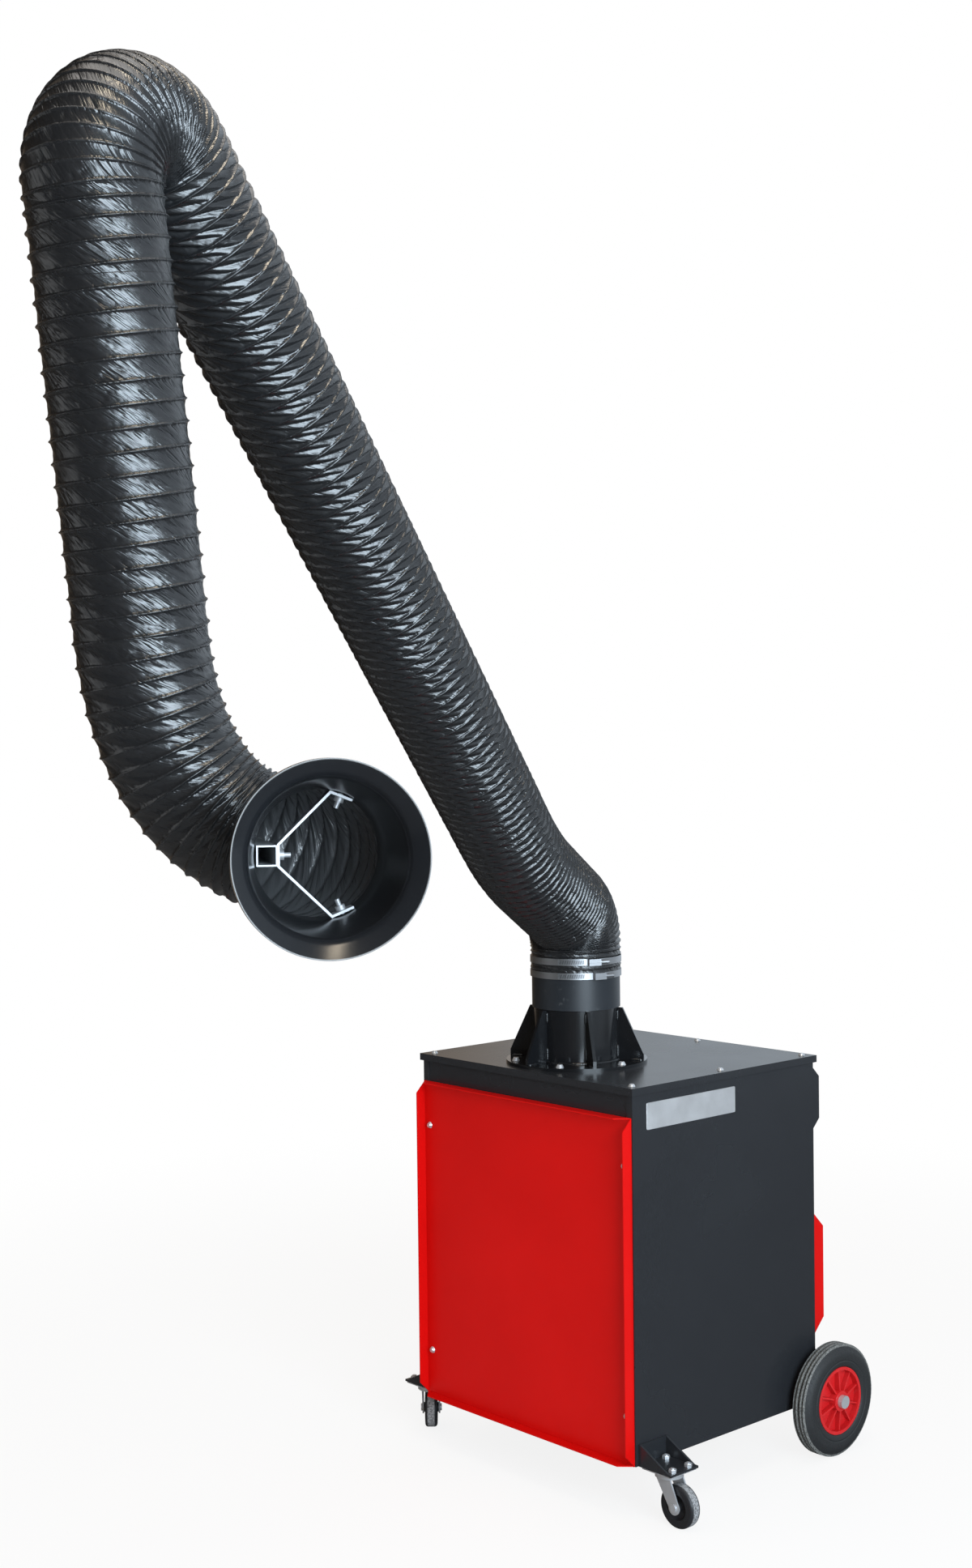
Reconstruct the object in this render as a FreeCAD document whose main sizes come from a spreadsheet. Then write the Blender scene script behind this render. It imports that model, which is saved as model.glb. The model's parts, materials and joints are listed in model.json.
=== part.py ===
"""Mobile fume extractor: sheet-metal filter cabinet on wheels with a jointed suction arm.

Millimetres. +Z is up, the floor is z = 0, the cabinet's centre is over the origin, the door faces -Y.
The arm is drawn in its own upright plane: u runs outwards from the swivel axis, w across the plane.
"""
import FreeCAD
import Part
import Sketcher
import math
import os
from FreeCAD import Matrix, Placement, Rotation, Vector

SIZES = (
    # Sheet, fits and cuts
    ("sheet_gauge", "2", "thickness of the cabinet sheet"),
    ("fit_gap", "0.3", "gap of a loose fit and between moving faces"),
    ("run_gap", "0.05", "radial running clearance of a pin in its hole"),
    ("cut_over", "5", "overrun of every cut"),
    ("weld_depth", "1", "how far a welded plate bites into its tube"),
    # Cabinet
    ("cab_width", "555", "cabinet width"),
    ("cab_depth", "495", "cabinet depth"),
    ("cab_lift", "97", "floor to cabinet underside"),
    ("cab_height", "658", "underside to the lid's top"),
    ("side_return", "14", "folded return of a side panel"),
    ("pan_upstand", "25", "upstand of the base pan"),
    ("lid_overhang", "5", "lid beyond the cabinet walls"),
    ("lid_skirt", "13", "height of the lid's folded edge"),
    ("lid_bolt_inset", "15", "lid bolts from the cabinet's faces"),
    ("frame_border", "62", "border of the front frame"),
    # Trays with outward flanges
    ("door_side_gap", "2.5", "door tray inside the cabinet's sides"),
    ("door_drop", "52", "door tray below the lid's top face"),
    ("door_flange", "22", "flange of the front door tray"),
    ("door_bolt_inset", "16", "door bolts from the tray's sides"),
    ("door_bolt_rise", "85", "door bolts from the tray's ends"),
    ("cover_side_gap", "5", "rear cover inside the cabinet's sides"),
    ("cover_gap", "18", "rear cover below the outlet grille"),
    ("cover_rise", "120", "rear cover above the underside"),
    ("cover_flange", "33", "flange of the rear cover tray"),
    ("cover_bolt_inset", "40", "rear cover bolts from its edges"),
    ("panel_side_gap", "5", "control panel inside the cabinet's sides"),
    ("panel_height", "128", "height of the control panel tray"),
    ("panel_drop", "6", "control panel below the lid's skirt"),
    ("panel_flange", "24", "flange of the control panel tray"),
    ("panel_bolt_inset", "30", "control panel bolts from its edges"),
    # Panel screws
    ("screw_radius", "3", "shank of a panel screw"),
    ("screw_length", "9", "shank length of a panel screw"),
    ("screw_head_radius", "6.5", "head of a panel screw"),
    ("screw_head_height", "4", "head height of a panel screw"),
    ("screw_dome_share", "0.62", "top of a domed head as a share of its radius"),
    # Outlet grille, gland and switch
    ("grille_side_gap", "87.5", "outlet grille inside the cabinet's sides"),
    ("grille_height", "130", "height of the outlet grille"),
    ("grille_gap", "3", "outlet grille below the control panel"),
    ("grille_border", "15", "border of the outlet grille"),
    ("slot_height", "6", "height of one grille slot"),
    ("slot_count", "8", "number of grille slots"),
    ("gland_radius", "14", "body of the cable gland"),
    ("gland_bore", "5", "cable hole of the gland"),
    ("gland_length", "26", "length of the gland outside"),
    ("gland_offset", "170", "gland from the middle"),
    ("knob_radius", "24", "rotary switch knob"),
    ("knob_height", "10", "disc of the knob"),
    ("knob_grip", "16", "grip height of the knob"),
    ("knob_grip_width", "10", "grip width of the knob"),
    ("knob_spindle", "5", "spindle radius of the knob"),
    ("knob_offset", "120", "knob from the middle"),
    # Flanged pipe on the lid
    ("pipe_back", "141.5", "pipe axis behind the cabinet's front"),
    ("pipe_radius", "79.5", "outer radius of the pipe"),
    ("pipe_wall", "3", "wall of the pipe"),
    ("pipe_height", "172", "pipe above the lid"),
    ("flange_radius", "132", "radius of the pipe flange"),
    ("flange_thick", "6", "thickness of the pipe flange"),
    ("flange_bolt_circle", "117", "radius of the flange bolt circle"),
    ("flange_screw_radius", "4", "shank of a flange bolt"),
    ("flange_screw_length", "18", "shank length of a flange bolt"),
    ("flange_head_radius", "7.5", "head of a flange bolt"),
    ("flange_head_height", "5.5", "head height of a flange bolt"),
    ("gusset_count", "6", "number of gussets"),
    ("gusset_thick", "6", "thickness of a gusset"),
    ("gusset_height", "97", "gusset above the flange"),
    ("gusset_top", "10", "width of a gusset at its top"),
    ("gusset_lip", "12", "upright edge of a gusset at its foot"),
    ("gusset_inset", "3", "gusset foot inside the flange rim"),
    # Swivel collar, hose cuff and clamps
    ("collar_rise", "104", "collar's lower edge above the lid"),
    ("collar_top", "207", "collar's top above the lid"),
    ("collar_wall", "2.7", "wall of the swivel collar"),
    ("collar_lip", "4", "thickness of the lip that rides on the pipe"),
    ("collar_lip_width", "8", "width of that lip inside the pipe wall"),
    ("cuff_length", "44", "hose end pulled over the collar"),
    ("cuff_wall", "1.6", "wall of the hose end"),
    ("clamp_width", "12", "band width of a hose clamp"),
    ("clamp_band", "1.2", "band thickness of a hose clamp"),
    ("clamp_gap", "26", "spacing of the two clamps"),
    ("clamp_drop", "7", "upper clamp below the collar's top"),
    ("clamp_housing_length", "24", "worm housing length"),
    ("clamp_housing_height", "9", "worm housing height"),
    ("worm_radius", "4", "radius of a clamp's worm screw"),
    ("worm_length", "40", "length of a clamp's worm screw"),
    ("clamp_turn", "45", "worm housing of the upper clamp from the arm plane, degrees"),
    ("clamp_turn_step", "7", "turn from the upper worm housing to the lower one, degrees"),
    # Hose
    ("hose_bore", "80", "inner radius of the hose"),
    ("hose_wall", "2.5", "wall of the hose between its wires"),
    ("rib_height", "2.5", "wire rib above the wall"),
    ("rib_width", "9", "foot width of a rib"),
    ("rib_crest", "4", "crest width of a rib"),
    ("rib_pitch", "31", "rib spacing on the legs"),
    ("rib_pitch_tight", "17", "rib spacing on the bends"),
    # Route of the hose in the arm plane
    ("arm_azimuth", "23", "arm plane from the front towards the right, degrees"),
    ("hose_start", "8", "straight run above the collar"),
    ("shoulder_bend", "88", "radius of the shoulder bend"),
    ("shoulder_turn", "64.9", "turn of the shoulder bend, degrees"),
    ("sag_run", "156", "straight run after the shoulder bend"),
    ("sag_bend", "500", "radius of the sag"),
    ("sag_turn", "16.3", "turn of the sag, degrees"),
    ("leg_run", "1352", "straight run of the rising leg"),
    ("elbow_bend", "88", "radius of the elbow bend"),
    ("elbow_turn", "140.5", "turn of the elbow bend, degrees"),
    ("hang_run", "522", "straight run of the hanging leg"),
    ("elbow_reach", "100", "soft hose each side of the elbow bend"),
    ("wrist_pull", "275", "handle of the wrist curve at the leg"),
    ("wrist_push", "120", "handle of the wrist curve at the hood"),
    # Arm inside the hose
    ("tube_side", "25", "side of the square arm tube"),
    ("tube_wall", "2", "wall of the square arm tube"),
    ("tube_tail", "22", "tube beyond a pivot"),
    ("shoulder_lift", "48", "shoulder pivot above the collar's top"),
    ("pivot_radius", "6", "radius of the pivot bolts"),
    ("pivot_head", "10", "head radius of the pivot bolts"),
    ("pivot_head_height", "7", "head height of the pivot bolts"),
    ("disc_radius", "17", "radius of the friction discs"),
    ("disc_thick", "2", "thickness of the friction discs"),
    ("ear_thick", "6", "thickness of the shoulder ears"),
    ("ear_width", "36", "width of the shoulder ears"),
    ("bar_thick", "6", "thickness of the cross bar in the collar"),
    ("bar_width", "40", "width of the cross bar in the collar"),
    ("elbow_plate_width", "38", "width of the elbow plates"),
    ("elbow_plate_thick", "5", "thickness of the elbow plates"),
    ("elbow_pivot_reach", "115", "elbow pivot from the bend's centre"),
    ("elbow_tube_gap", "150", "arm tubes end this far from the elbow bend"),
    ("plate_lap", "36", "elbow plates lap the tube ends"),
    ("boss_radius", "12", "spacer boss of an upper elbow plate"),
    ("tube_end_run", "170", "hanging tube beyond the straight hose leg"),
    ("bush_length", "60", "length of the turn bush"),
    ("spindle_radius", "8", "spindle of the knuckle"),
    # Hood, its stub tube and strap
    ("hood_azimuth", "61", "hood axis from the front towards the right, degrees"),
    ("neck_back", "32.2", "hood's hose end behind the hanging leg's end, along the arm plane"),
    ("neck_side", "223", "hood's hose end beside the arm plane"),
    ("neck_drop", "268.3", "hood axis below the hanging leg's end"),
    ("hood_depth", "130", "hose end to the mouth"),
    ("hood_neck_run", "32", "straight neck in front of the hose end"),
    ("hood_spigot", "14", "straight neck inside the hose end"),
    ("hood_mouth", "115", "outer radius of the mouth"),
    ("hood_wall", "2.5", "wall of the hood"),
    ("hood_rim_width", "15", "band at the hood's rim"),
    ("hood_rim_step", "2", "step of the rim band"),
    ("neck_gap", "0.5", "neck inside the hose bore"),
    ("stub_offset", "62", "stub tube beside the hood axis"),
    ("stub_back", "138", "tilt pivot behind the hose end"),
    ("stub_front", "30", "stub tube in front of the hose end"),
    ("crank_drop", "236", "knuckle's crank along the turn axis"),
    ("crank_side", "22", "side of the knuckle's crank bar"),
    ("knuckle_radius", "13", "radius of the knuckle's block"),
    ("knuckle_tail", "16", "knuckle's block beyond the crank"),
    ("pivot_plate", "6", "thickness of the knuckle's pivot plate"),
    ("strap_width", "22", "width of the hood strap"),
    ("strap_thick", "3", "thickness of the hood strap"),
    ("strap_flat", "26", "centre flat of the strap"),
    ("strap_tab", "28", "end tab of the strap"),
    ("strap_angle", "68", "end tabs from the middle of the strap, degrees"),
    ("strap_centre", "16", "strap in front of the hose end"),
    ("strap_bolt", "3", "radius of the strap bolts"),
    ("strap_nut", "6", "radius of the strap nuts"),
    ("strap_nut_height", "6", "height of the strap nuts"),
    ("strap_bolt_stick", "8", "strap bolts beyond their nuts"),
    # Castors
    ("castor_out", "40", "castor swivel outside the cabinet's side"),
    ("castor_back", "41.5", "castor swivel behind the cabinet's front"),
    ("castor_radius", "37.5", "radius of a castor wheel"),
    ("castor_width", "24", "width of a castor wheel"),
    ("castor_trail", "25", "trail of a castor"),
    ("castor_turn_right", "0", "trail direction of the right castor, degrees"),
    ("castor_turn_left", "138", "trail direction of the left castor, degrees"),
    ("castor_axle_radius", "4", "castor axle"),
    ("castor_axle_head", "7", "heads of the castor axle"),
    ("fork_thick", "3", "thickness of a fork leg"),
    ("fork_gap", "2.5", "fork leg beside the wheel"),
    ("fork_end", "12", "radius of a fork leg's end"),
    ("crown_radius", "25", "radius of a fork's crown"),
    ("crown_height", "10", "height of a fork's crown"),
    ("kingpin_radius", "6", "castor kingpin"),
    ("kingpin_head", "10", "head of the kingpin"),
    ("kingpin_head_height", "4", "head height of the kingpin"),
    ("castor_plate_length", "66", "length of a castor plate"),
    ("castor_plate_thick", "3", "thickness of a castor plate"),
    ("bracket_width", "70", "width of a castor bracket"),
    ("bracket_reach", "76", "reach of a castor bracket"),
    ("bracket_thick", "4", "thickness of a castor bracket"),
    ("bracket_height", "38", "height of a castor bracket at the cabinet"),
    # Rear wheels
    ("axle_back", "12", "rear axle behind the cabinet"),
    ("axle_radius", "8", "rear axle"),
    ("wheel_radius", "105", "radius of a rear wheel"),
    ("wheel_width", "42", "width of a rear wheel"),
    ("wheel_side_gap", "10", "rear wheel beside the cabinet"),
    ("tyre_shoulder", "8", "shoulder radius of the tyre"),
    ("tyre_groove", "3", "depth and width of the tread grooves"),
    ("groove_spread", "9", "spacing of the tread grooves"),
    ("hub_radius", "63", "radius of the hub's rim"),
    ("hub_rim", "6", "thickness of the hub's rim"),
    ("hub_boss", "19", "radius of the hub's boss"),
    ("hub_dish", "12", "hub web behind the rim's face"),
    ("hub_web", "5", "thickness of the hub's web"),
    ("hub_rib", "3", "thickness of a hub rib"),
    ("hub_rib_count", "10", "number of hub ribs"),
    ("cap_radius", "12", "axle cap"),
    ("cap_depth", "9", "axle cap over the axle end"),
    ("cap_end", "3", "closed end of the axle cap"),
    ("axle_bracket_thick", "6", "thickness of an axle bracket"),
    ("axle_bracket_height", "107", "height of an axle bracket"),
    ("axle_bracket_reach", "52", "reach of an axle bracket behind the cabinet"),
    ("axle_bracket_drop", "5", "axle bracket below the underside"),
    # Filter, fan and motor inside
    ("motor_wall_gap", "19.5", "motor in front of the rear wall"),
    ("cassette_side_gap", "47.5", "filter cassette inside the cabinet's sides"),
    ("cassette_height", "500", "height of the filter cassette"),
    ("cassette_depth", "76", "depth of the filter cassette"),
    ("cassette_border", "16", "frame border of the cassette"),
    ("cassette_recess", "8", "pleat pack behind the cassette's frame"),
    ("seal_thick", "4", "thickness of the filter seal"),
    ("fan_height", "195", "fan axis above the underside"),
    ("fan_radius", "110", "radius of the impeller"),
    ("fan_width", "48", "width of the impeller"),
    ("fan_eye", "70", "eye radius of the impeller"),
    ("fan_plate", "3", "plates of the impeller"),
    ("fan_gap", "8", "impeller behind the divider"),
    ("blade_count", "9", "number of impeller blades"),
    ("blade_thick", "3", "thickness of a blade"),
    ("fan_hub", "20", "hub radius of the impeller"),
    ("cone_overlap", "6", "inlet cone inside the impeller's eye"),
    ("shaft_radius", "9", "motor shaft"),
    ("motor_radius", "66", "radius of the motor"),
    ("motor_length", "100", "length of the motor"),
    ("motor_gap", "6", "motor behind the impeller"),
    ("motor_step", "12", "end shields of the motor"),
    ("motor_shaft_depth", "40", "shaft inside the motor"),
    ("bracket_foot", "150", "foot width of the motor bracket"),
    ("bracket_sheet", "4", "sheet of the motor bracket"),
)

doc = FreeCAD.newDocument("fume_extractor")
sheet = doc.addObject("Spreadsheet::Sheet", "sizes")
for row, (alias, number, meaning) in enumerate(SIZES, start=1):
    sheet.set(f"A{row}", meaning)
    sheet.set(f"B{row}", number)
    sheet.setAlias(f"B{row}", alias)
doc.recompute()

FULL_TURN = 360
QUARTER_TURN = 90
HALF_TURN = 180


class Size:
    """A number together with the sheet expression that gives it."""

    def __init__(self, value, text):
        self.value = float(value)
        self.text = text

    def join(self, other, sign, value):
        return Size(value, f"({self.text} {sign} {as_size(other).text})")

    def __add__(self, other):
        return self.join(other, "+", self.value + as_size(other).value)

    def __sub__(self, other):
        return self.join(other, "-", self.value - as_size(other).value)

    def __mul__(self, other):
        return self.join(other, "*", self.value * as_size(other).value)

    def __truediv__(self, other):
        return self.join(other, "/", self.value / as_size(other).value)

    def __radd__(self, other):
        return as_size(other) + self

    def __rsub__(self, other):
        return as_size(other) - self

    def __rmul__(self, other):
        return as_size(other) * self

    def __neg__(self):
        return Size(-self.value, f"(-1 * {self.text})")


def as_size(amount):
    return amount if isinstance(amount, Size) else Size(amount, repr(amount))


class Sheet:
    """Each alias of the spreadsheet as a Size."""

    def __getattr__(self, alias):
        return Size(sheet.get(alias), f"sizes.{alias}")


s = Sheet()
ZERO = as_size(0)


def number(amount):
    return as_size(amount).value


def bind(thing, **amounts):
    """Tie properties of a document object to the sheet."""
    for prop, amount in amounts.items():
        if isinstance(amount, Size):
            thing.setExpression(prop, amount.text)
        else:
            setattr(thing, prop, amount)
    return thing


def at(thing, x=ZERO, y=ZERO, z=ZERO):
    """Tie an object's position to the sheet."""
    thing.Placement = Placement(Vector(number(x), number(y), number(z)), thing.Placement.Rotation)
    for axis, amount in (("x", x), ("y", y), ("z", z)):
        thing.setExpression(f"Placement.Base.{axis}", as_size(amount).text)
    return thing


def carry(thing, placement):
    """Carry an object along with a placement that is worked out from the sheet."""
    for axis in "xyz":
        thing.setExpression(f"Placement.Base.{axis}", None)
    thing.Placement = placement.multiply(thing.Placement)
    return thing


def box(length, width, height, x=ZERO, y=ZERO, z=ZERO):
    solid = doc.addObject("Part::Box", "box")
    bind(solid, Length=length, Width=width, Height=height)
    return at(solid, x, y, z)


def cylinder(radius, height, x=ZERO, y=ZERO, z=ZERO, along="z"):
    """A cylinder that starts at a point and runs along +x, +y or +z."""
    solid = doc.addObject("Part::Cylinder", "cylinder")
    bind(solid, Radius=radius, Height=height)
    turns = {"x": Rotation(Vector(0, 1, 0), QUARTER_TURN), "y": Rotation(Vector(1, 0, 0), -QUARTER_TURN)}
    solid.Placement = Placement(Vector(), turns.get(along, Rotation()))
    return at(solid, x, y, z)


def trapezoid(base_low, base_high, top_low, top_high, rise, thick):
    """A plate whose base lies along x at y = 0 and whose top is at y = rise; thickness along z."""
    solid = doc.addObject("Part::Wedge", "trapezoid")
    bind(solid, Xmin=base_low, Xmax=base_high, X2min=top_low, X2max=top_high)
    bind(solid, Ymin=ZERO, Ymax=rise, Zmin=ZERO, Z2min=ZERO, Zmax=thick, Z2max=thick)
    return solid


def fuse(*solids):
    joined = doc.addObject("Part::MultiFuse", "fuse")
    joined.Shapes = list(solids)
    return joined


def cut(base, *tools):
    result = doc.addObject("Part::Cut", "cut")
    result.Base = base
    result.Tool = tools[0] if len(tools) == 1 else fuse(*tools)
    return result


def group(*solids):
    together = doc.addObject("Part::Compound", "group")
    together.Links = list(solids)
    return together


def new_body():
    return doc.addObject("PartDesign::Body", "body")


def origin_feature(body, role):
    return next(feature for feature in body.Origin.OriginFeatures if feature.Role == role)


def pin_point(sketch, edge, kind, amount):
    """Hold the start point of an edge at a distance from the sketch's origin."""
    size = as_size(amount)
    if size.value == 0:
        sketch.addConstraint(Sketcher.Constraint("PointOnObject", edge, 1, -1 if kind == "DistanceY" else -2))
        return
    ends = (-1, 1, edge, 1) if size.value > 0 else (edge, 1, -1, 1)
    index = sketch.addConstraint(Sketcher.Constraint(kind, *ends, abs(size.value)))
    sketch.setExpression(f"Constraints[{index}]", size.text if size.value > 0 else (-size).text)


def outline(body, plane, points, lift=ZERO):
    """A closed outline of straight edges on an origin plane, each corner tied to the sheet."""
    sketch = body.newObject("Sketcher::SketchObject", "outline")
    sketch.AttachmentSupport = [(origin_feature(body, plane), "")]
    sketch.MapMode = "FlatFace"
    sketch.setExpression("AttachmentOffset.Base.z", as_size(lift).text)
    corners = [Vector(number(x), number(y), 0) for x, y in points]
    count = len(corners)
    for index in range(count):
        sketch.addGeometry(Part.LineSegment(corners[index], corners[(index + 1) % count]), False)
    for index in range(count):
        sketch.addConstraint(Sketcher.Constraint("Coincident", index, 2, (index + 1) % count, 1))
    for index, (x, y) in enumerate(points):
        pin_point(sketch, index, "DistanceX", x)
        pin_point(sketch, index, "DistanceY", y)
    return sketch


def pad(body, sketch, length):
    feature = body.newObject("PartDesign::Pad", "pad")
    feature.Profile = sketch
    return bind(feature, Length=length)


def revolve(body, points):
    """Turn an outline of (radius, height) corners about the body's Z axis."""
    feature = body.newObject("PartDesign::Revolution", "revolution")
    sketch = outline(body, "XZ_Plane", points)
    feature.Profile = sketch
    feature.ReferenceAxis = (sketch, ["V_Axis"])
    feature.Angle = FULL_TURN
    return feature


def polar(body, feature, count):
    """Repeat a feature evenly about the body's Z axis."""
    pattern = body.newObject("PartDesign::PolarPattern", "pattern")
    pattern.Originals = [feature]
    pattern.Axis = (origin_feature(body, "Z_Axis"), [""])
    pattern.Angle = FULL_TURN
    bind(pattern, Occurrences=count)
    body.Tip = pattern
    return pattern


def round_edges(body, radius, wanted):
    """Round the edges of the body's tip that the test picks."""
    doc.recompute()
    tip = body.Tip
    names = [f"Edge{index}" for index, edge in enumerate(tip.Shape.Edges, start=1) if wanted(edge)]
    feature = body.newObject("PartDesign::Fillet", "rounding")
    feature.Base = (tip, names)
    return bind(feature, Radius=radius)


def ring(radius):
    """A test for circular edges of one radius."""
    def wanted(edge):
        return isinstance(edge.Curve, Part.Circle) and abs(edge.Curve.Radius - number(radius)) < number(s.run_gap)
    return wanted


nodes = {}


def node(name, thing, placement=None):
    """Name a finished piece and put it in its place."""
    thing.Label = name
    if placement is not None:
        thing.Placement = placement
    nodes[name] = thing
    return thing


def turned(x, y, z, *turns):
    """A placement at a point after turns of (axis, degrees), applied in order."""
    total = Rotation()
    for axis, degrees in turns:
        total = Rotation(axis, number(degrees)) * total
    return Placement(Vector(number(x), number(y), number(z)), total)


X_AXIS = Vector(1, 0, 0)
Y_AXIS = Vector(0, 1, 0)
Z_AXIS = Vector(0, 0, 1)

# Levels and faces of the cabinet that other pieces seat on
underside = s.cab_lift
lid_top = s.cab_lift + s.cab_height
lid_under = lid_top - s.sheet_gauge
floor_top = underside + s.sheet_gauge
half_width = s.cab_width / 2
half_depth = s.cab_depth / 2
inner_half = half_width - s.sheet_gauge
rear_face = half_depth
wall_face = half_depth - s.sheet_gauge
pipe_y = s.pipe_back - half_depth
castor_y = s.castor_back - half_depth

# Trays, grille and cassette, worked out from the cabinet and their clearances
door_width = s.cab_width - 2 * s.door_side_gap
door_height = s.cab_height - s.door_drop
cover_width = s.cab_width - 2 * s.cover_side_gap
panel_width = s.cab_width - 2 * s.panel_side_gap
panel_z = lid_top - s.lid_skirt - s.panel_drop - s.panel_height
grille_width = s.cab_width - 2 * s.grille_side_gap
grille_z = panel_z - s.grille_gap - s.grille_height
cover_z = underside + s.cover_rise
cover_height = grille_z - s.cover_gap - cover_z
cassette_width = s.cab_width - 2 * s.cassette_side_gap
motor_y = wall_face - s.sheet_gauge - s.motor_wall_gap - s.motor_length
fan_y = motor_y - s.motor_gap - s.fan_width
divider_y = fan_y - s.fan_gap - s.sheet_gauge


def side_panel(name, side):
    """A side sheet with folded returns at the front and the back."""
    body = new_body()
    outer = side * half_width
    inner = side * inner_half
    lip = side * (half_width - s.side_return)
    corners = [(outer, -half_depth), (outer, half_depth), (lip, half_depth), (lip, wall_face),
               (inner, wall_face), (inner, -wall_face), (lip, -wall_face), (lip, -half_depth)]
    pad(body, outline(body, "XY_Plane", corners), s.cab_height - s.sheet_gauge)
    at(body, z=underside)
    node(name, body)


def base_pan():
    """The floor sheet, folded up along both sides."""
    body = new_body()
    step = inner_half - s.sheet_gauge
    corners = [(-inner_half, ZERO), (inner_half, ZERO), (inner_half, s.pan_upstand), (step, s.pan_upstand),
               (step, s.sheet_gauge), (-step, s.sheet_gauge), (-step, s.pan_upstand),
               (-inner_half, s.pan_upstand)]
    pad(body, outline(body, "XZ_Plane", corners), 2 * wall_face)
    at(body, y=wall_face, z=underside)
    node("base_pan", body)


def wall_sheet(y_low, opening):
    """An upright sheet across the cabinet with one opening of (width, height, lower edge)."""
    half = inner_half - s.sheet_gauge - s.fit_gap
    width, height, low = opening
    blank = box(2 * half, s.sheet_gauge, lid_under - floor_top, -half, y_low, floor_top)
    hole = box(width, s.sheet_gauge + 2 * s.cut_over, height, -width / 2, y_low - s.cut_over, low)
    return blank, hole


def screw(radius, length, head_radius, head_height):
    """A domed screw pointing along -z, its head standing on z = 0."""
    head = doc.addObject("Part::Cone", "head")
    bind(head, Radius1=head_radius, Radius2=head_radius * s.screw_dome_share, Height=head_height)
    shank = cylinder(radius, length + s.weld_depth, z=-length)
    return fuse(head, shank)


def panel_screw():
    return screw(s.screw_radius, s.screw_length, s.screw_head_radius, s.screw_head_height)


def holes(spots, radius, along, start, length):
    """Through holes along one axis at the given spots."""
    drills = []
    for first, second in spots:
        place = {"z": (first, second, start), "y": (first, start, second)}[along]
        drills.append(cylinder(radius, length, *place, along=along))
    return drills


lid_edge_x = half_width - s.lid_bolt_inset
lid_edge_y = half_depth - s.lid_bolt_inset
lid_spots = [(i * lid_edge_x, j * lid_edge_y) for i in (-1, 0, 1) for j in (-1, 0, 1)
             if (i or j) and (i, j) != (0, -1)]
door_x = door_width / 2 - s.door_bolt_inset
door_spots = [(i * door_x, underside + rise) for i in (-1, 1)
              for rise in (s.door_bolt_rise, door_height - s.door_bolt_rise)]
cover_x = cover_width / 2 - s.cover_bolt_inset
cover_spots = [(i * cover_x, cover_z + rise) for i in (-1, 1)
               for rise in (s.cover_bolt_inset, cover_height - s.cover_bolt_inset)]
panel_x = panel_width / 2 - s.panel_bolt_inset
panel_spots = [(i * panel_x, panel_z + rise) for i in (-1, 1)
               for rise in (s.panel_bolt_inset, s.panel_height - s.panel_bolt_inset)]
screw_hole = s.screw_radius + s.fit_gap
flange_hole = s.flange_screw_radius + s.fit_gap
bolt_step = FULL_TURN / number(s.gusset_count)
flange_angles = [-QUARTER_TURN + bolt_step / 2 + bolt_step * k for k in range(int(number(s.gusset_count)))]


def flange_spot(degrees):
    return (s.flange_bolt_circle * math.cos(math.radians(degrees)),
            pipe_y + s.flange_bolt_circle * math.sin(math.radians(degrees)))


flange_spots = [flange_spot(degrees) for degrees in flange_angles]


def front_frame():
    """The sheet behind the door, open where the filter comes out."""
    opening = (s.cab_width - 2 * s.frame_border, door_height - 2 * s.frame_border, underside + s.frame_border)
    blank, hole = wall_sheet(-wall_face, opening)
    drills = holes(door_spots, screw_hole, "y", -wall_face - s.cut_over, s.sheet_gauge + 2 * s.cut_over)
    node("front_frame", cut(blank, hole, *drills))


def rear_wall():
    """The back sheet, open behind the outlet grille."""
    opening = (grille_width - 2 * s.grille_border, s.grille_height - 2 * s.grille_border,
               grille_z + s.grille_border)
    blank, hole = wall_sheet(wall_face - s.sheet_gauge, opening)
    drills = holes(cover_spots + panel_spots, screw_hole, "y", wall_face - s.sheet_gauge - s.cut_over,
                   s.sheet_gauge + 2 * s.cut_over)
    spindle = cylinder(s.knob_spindle + s.fit_gap, s.sheet_gauge + 2 * s.cut_over, s.knob_offset,
                       wall_face - s.sheet_gauge - s.cut_over, knob_z, along="y")
    node("rear_wall", cut(blank, hole, spindle, *drills))


def top_lid():
    """The lid sheet with its folded skirt, the duct hole and the bolt holes."""
    over = s.lid_overhang
    inside = s.lid_overhang - s.sheet_gauge
    bottom = lid_top - s.lid_skirt
    blank = box(s.cab_width + 2 * over, s.cab_depth + 2 * over, s.lid_skirt,
                -half_width - over, -half_depth - over, bottom)
    hollow = box(s.cab_width + 2 * inside, s.cab_depth + 2 * inside, s.lid_skirt - s.sheet_gauge + s.cut_over,
                 -half_width - inside, -half_depth - inside, bottom - s.cut_over)
    through = s.sheet_gauge + 2 * s.cut_over
    duct = cylinder(s.pipe_radius - s.pipe_wall, through, y=pipe_y, z=lid_under - s.cut_over)
    drills = holes(lid_spots, screw_hole, "z", lid_under - s.cut_over, through)
    drills += holes(flange_spots, flange_hole, "z", lid_under - s.cut_over, through)
    node("top_lid", cut(blank, hollow, duct, *drills))


def tray(width, height, flange):
    """A sheet in XY with four flanges up along Z whose ends slope at 45 degrees."""
    gauge = s.sheet_gauge
    pieces = [box(width, height, gauge)]
    for x in (ZERO, width - gauge):
        side = trapezoid(ZERO, height, flange, height - flange, flange, gauge)
        side.Placement = turned(x, 0, 0, (Vector(1, 1, 1), FULL_TURN / 3))
        at(side, x=x)
        pieces.append(side)
    for y in (gauge, height):
        end = trapezoid(ZERO, width, flange, width - flange, flange, gauge)
        end.Placement = turned(0, y, 0, (X_AXIS, QUARTER_TURN))
        at(end, y=y)
        pieces.append(end)
    return fuse(*pieces)


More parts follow.
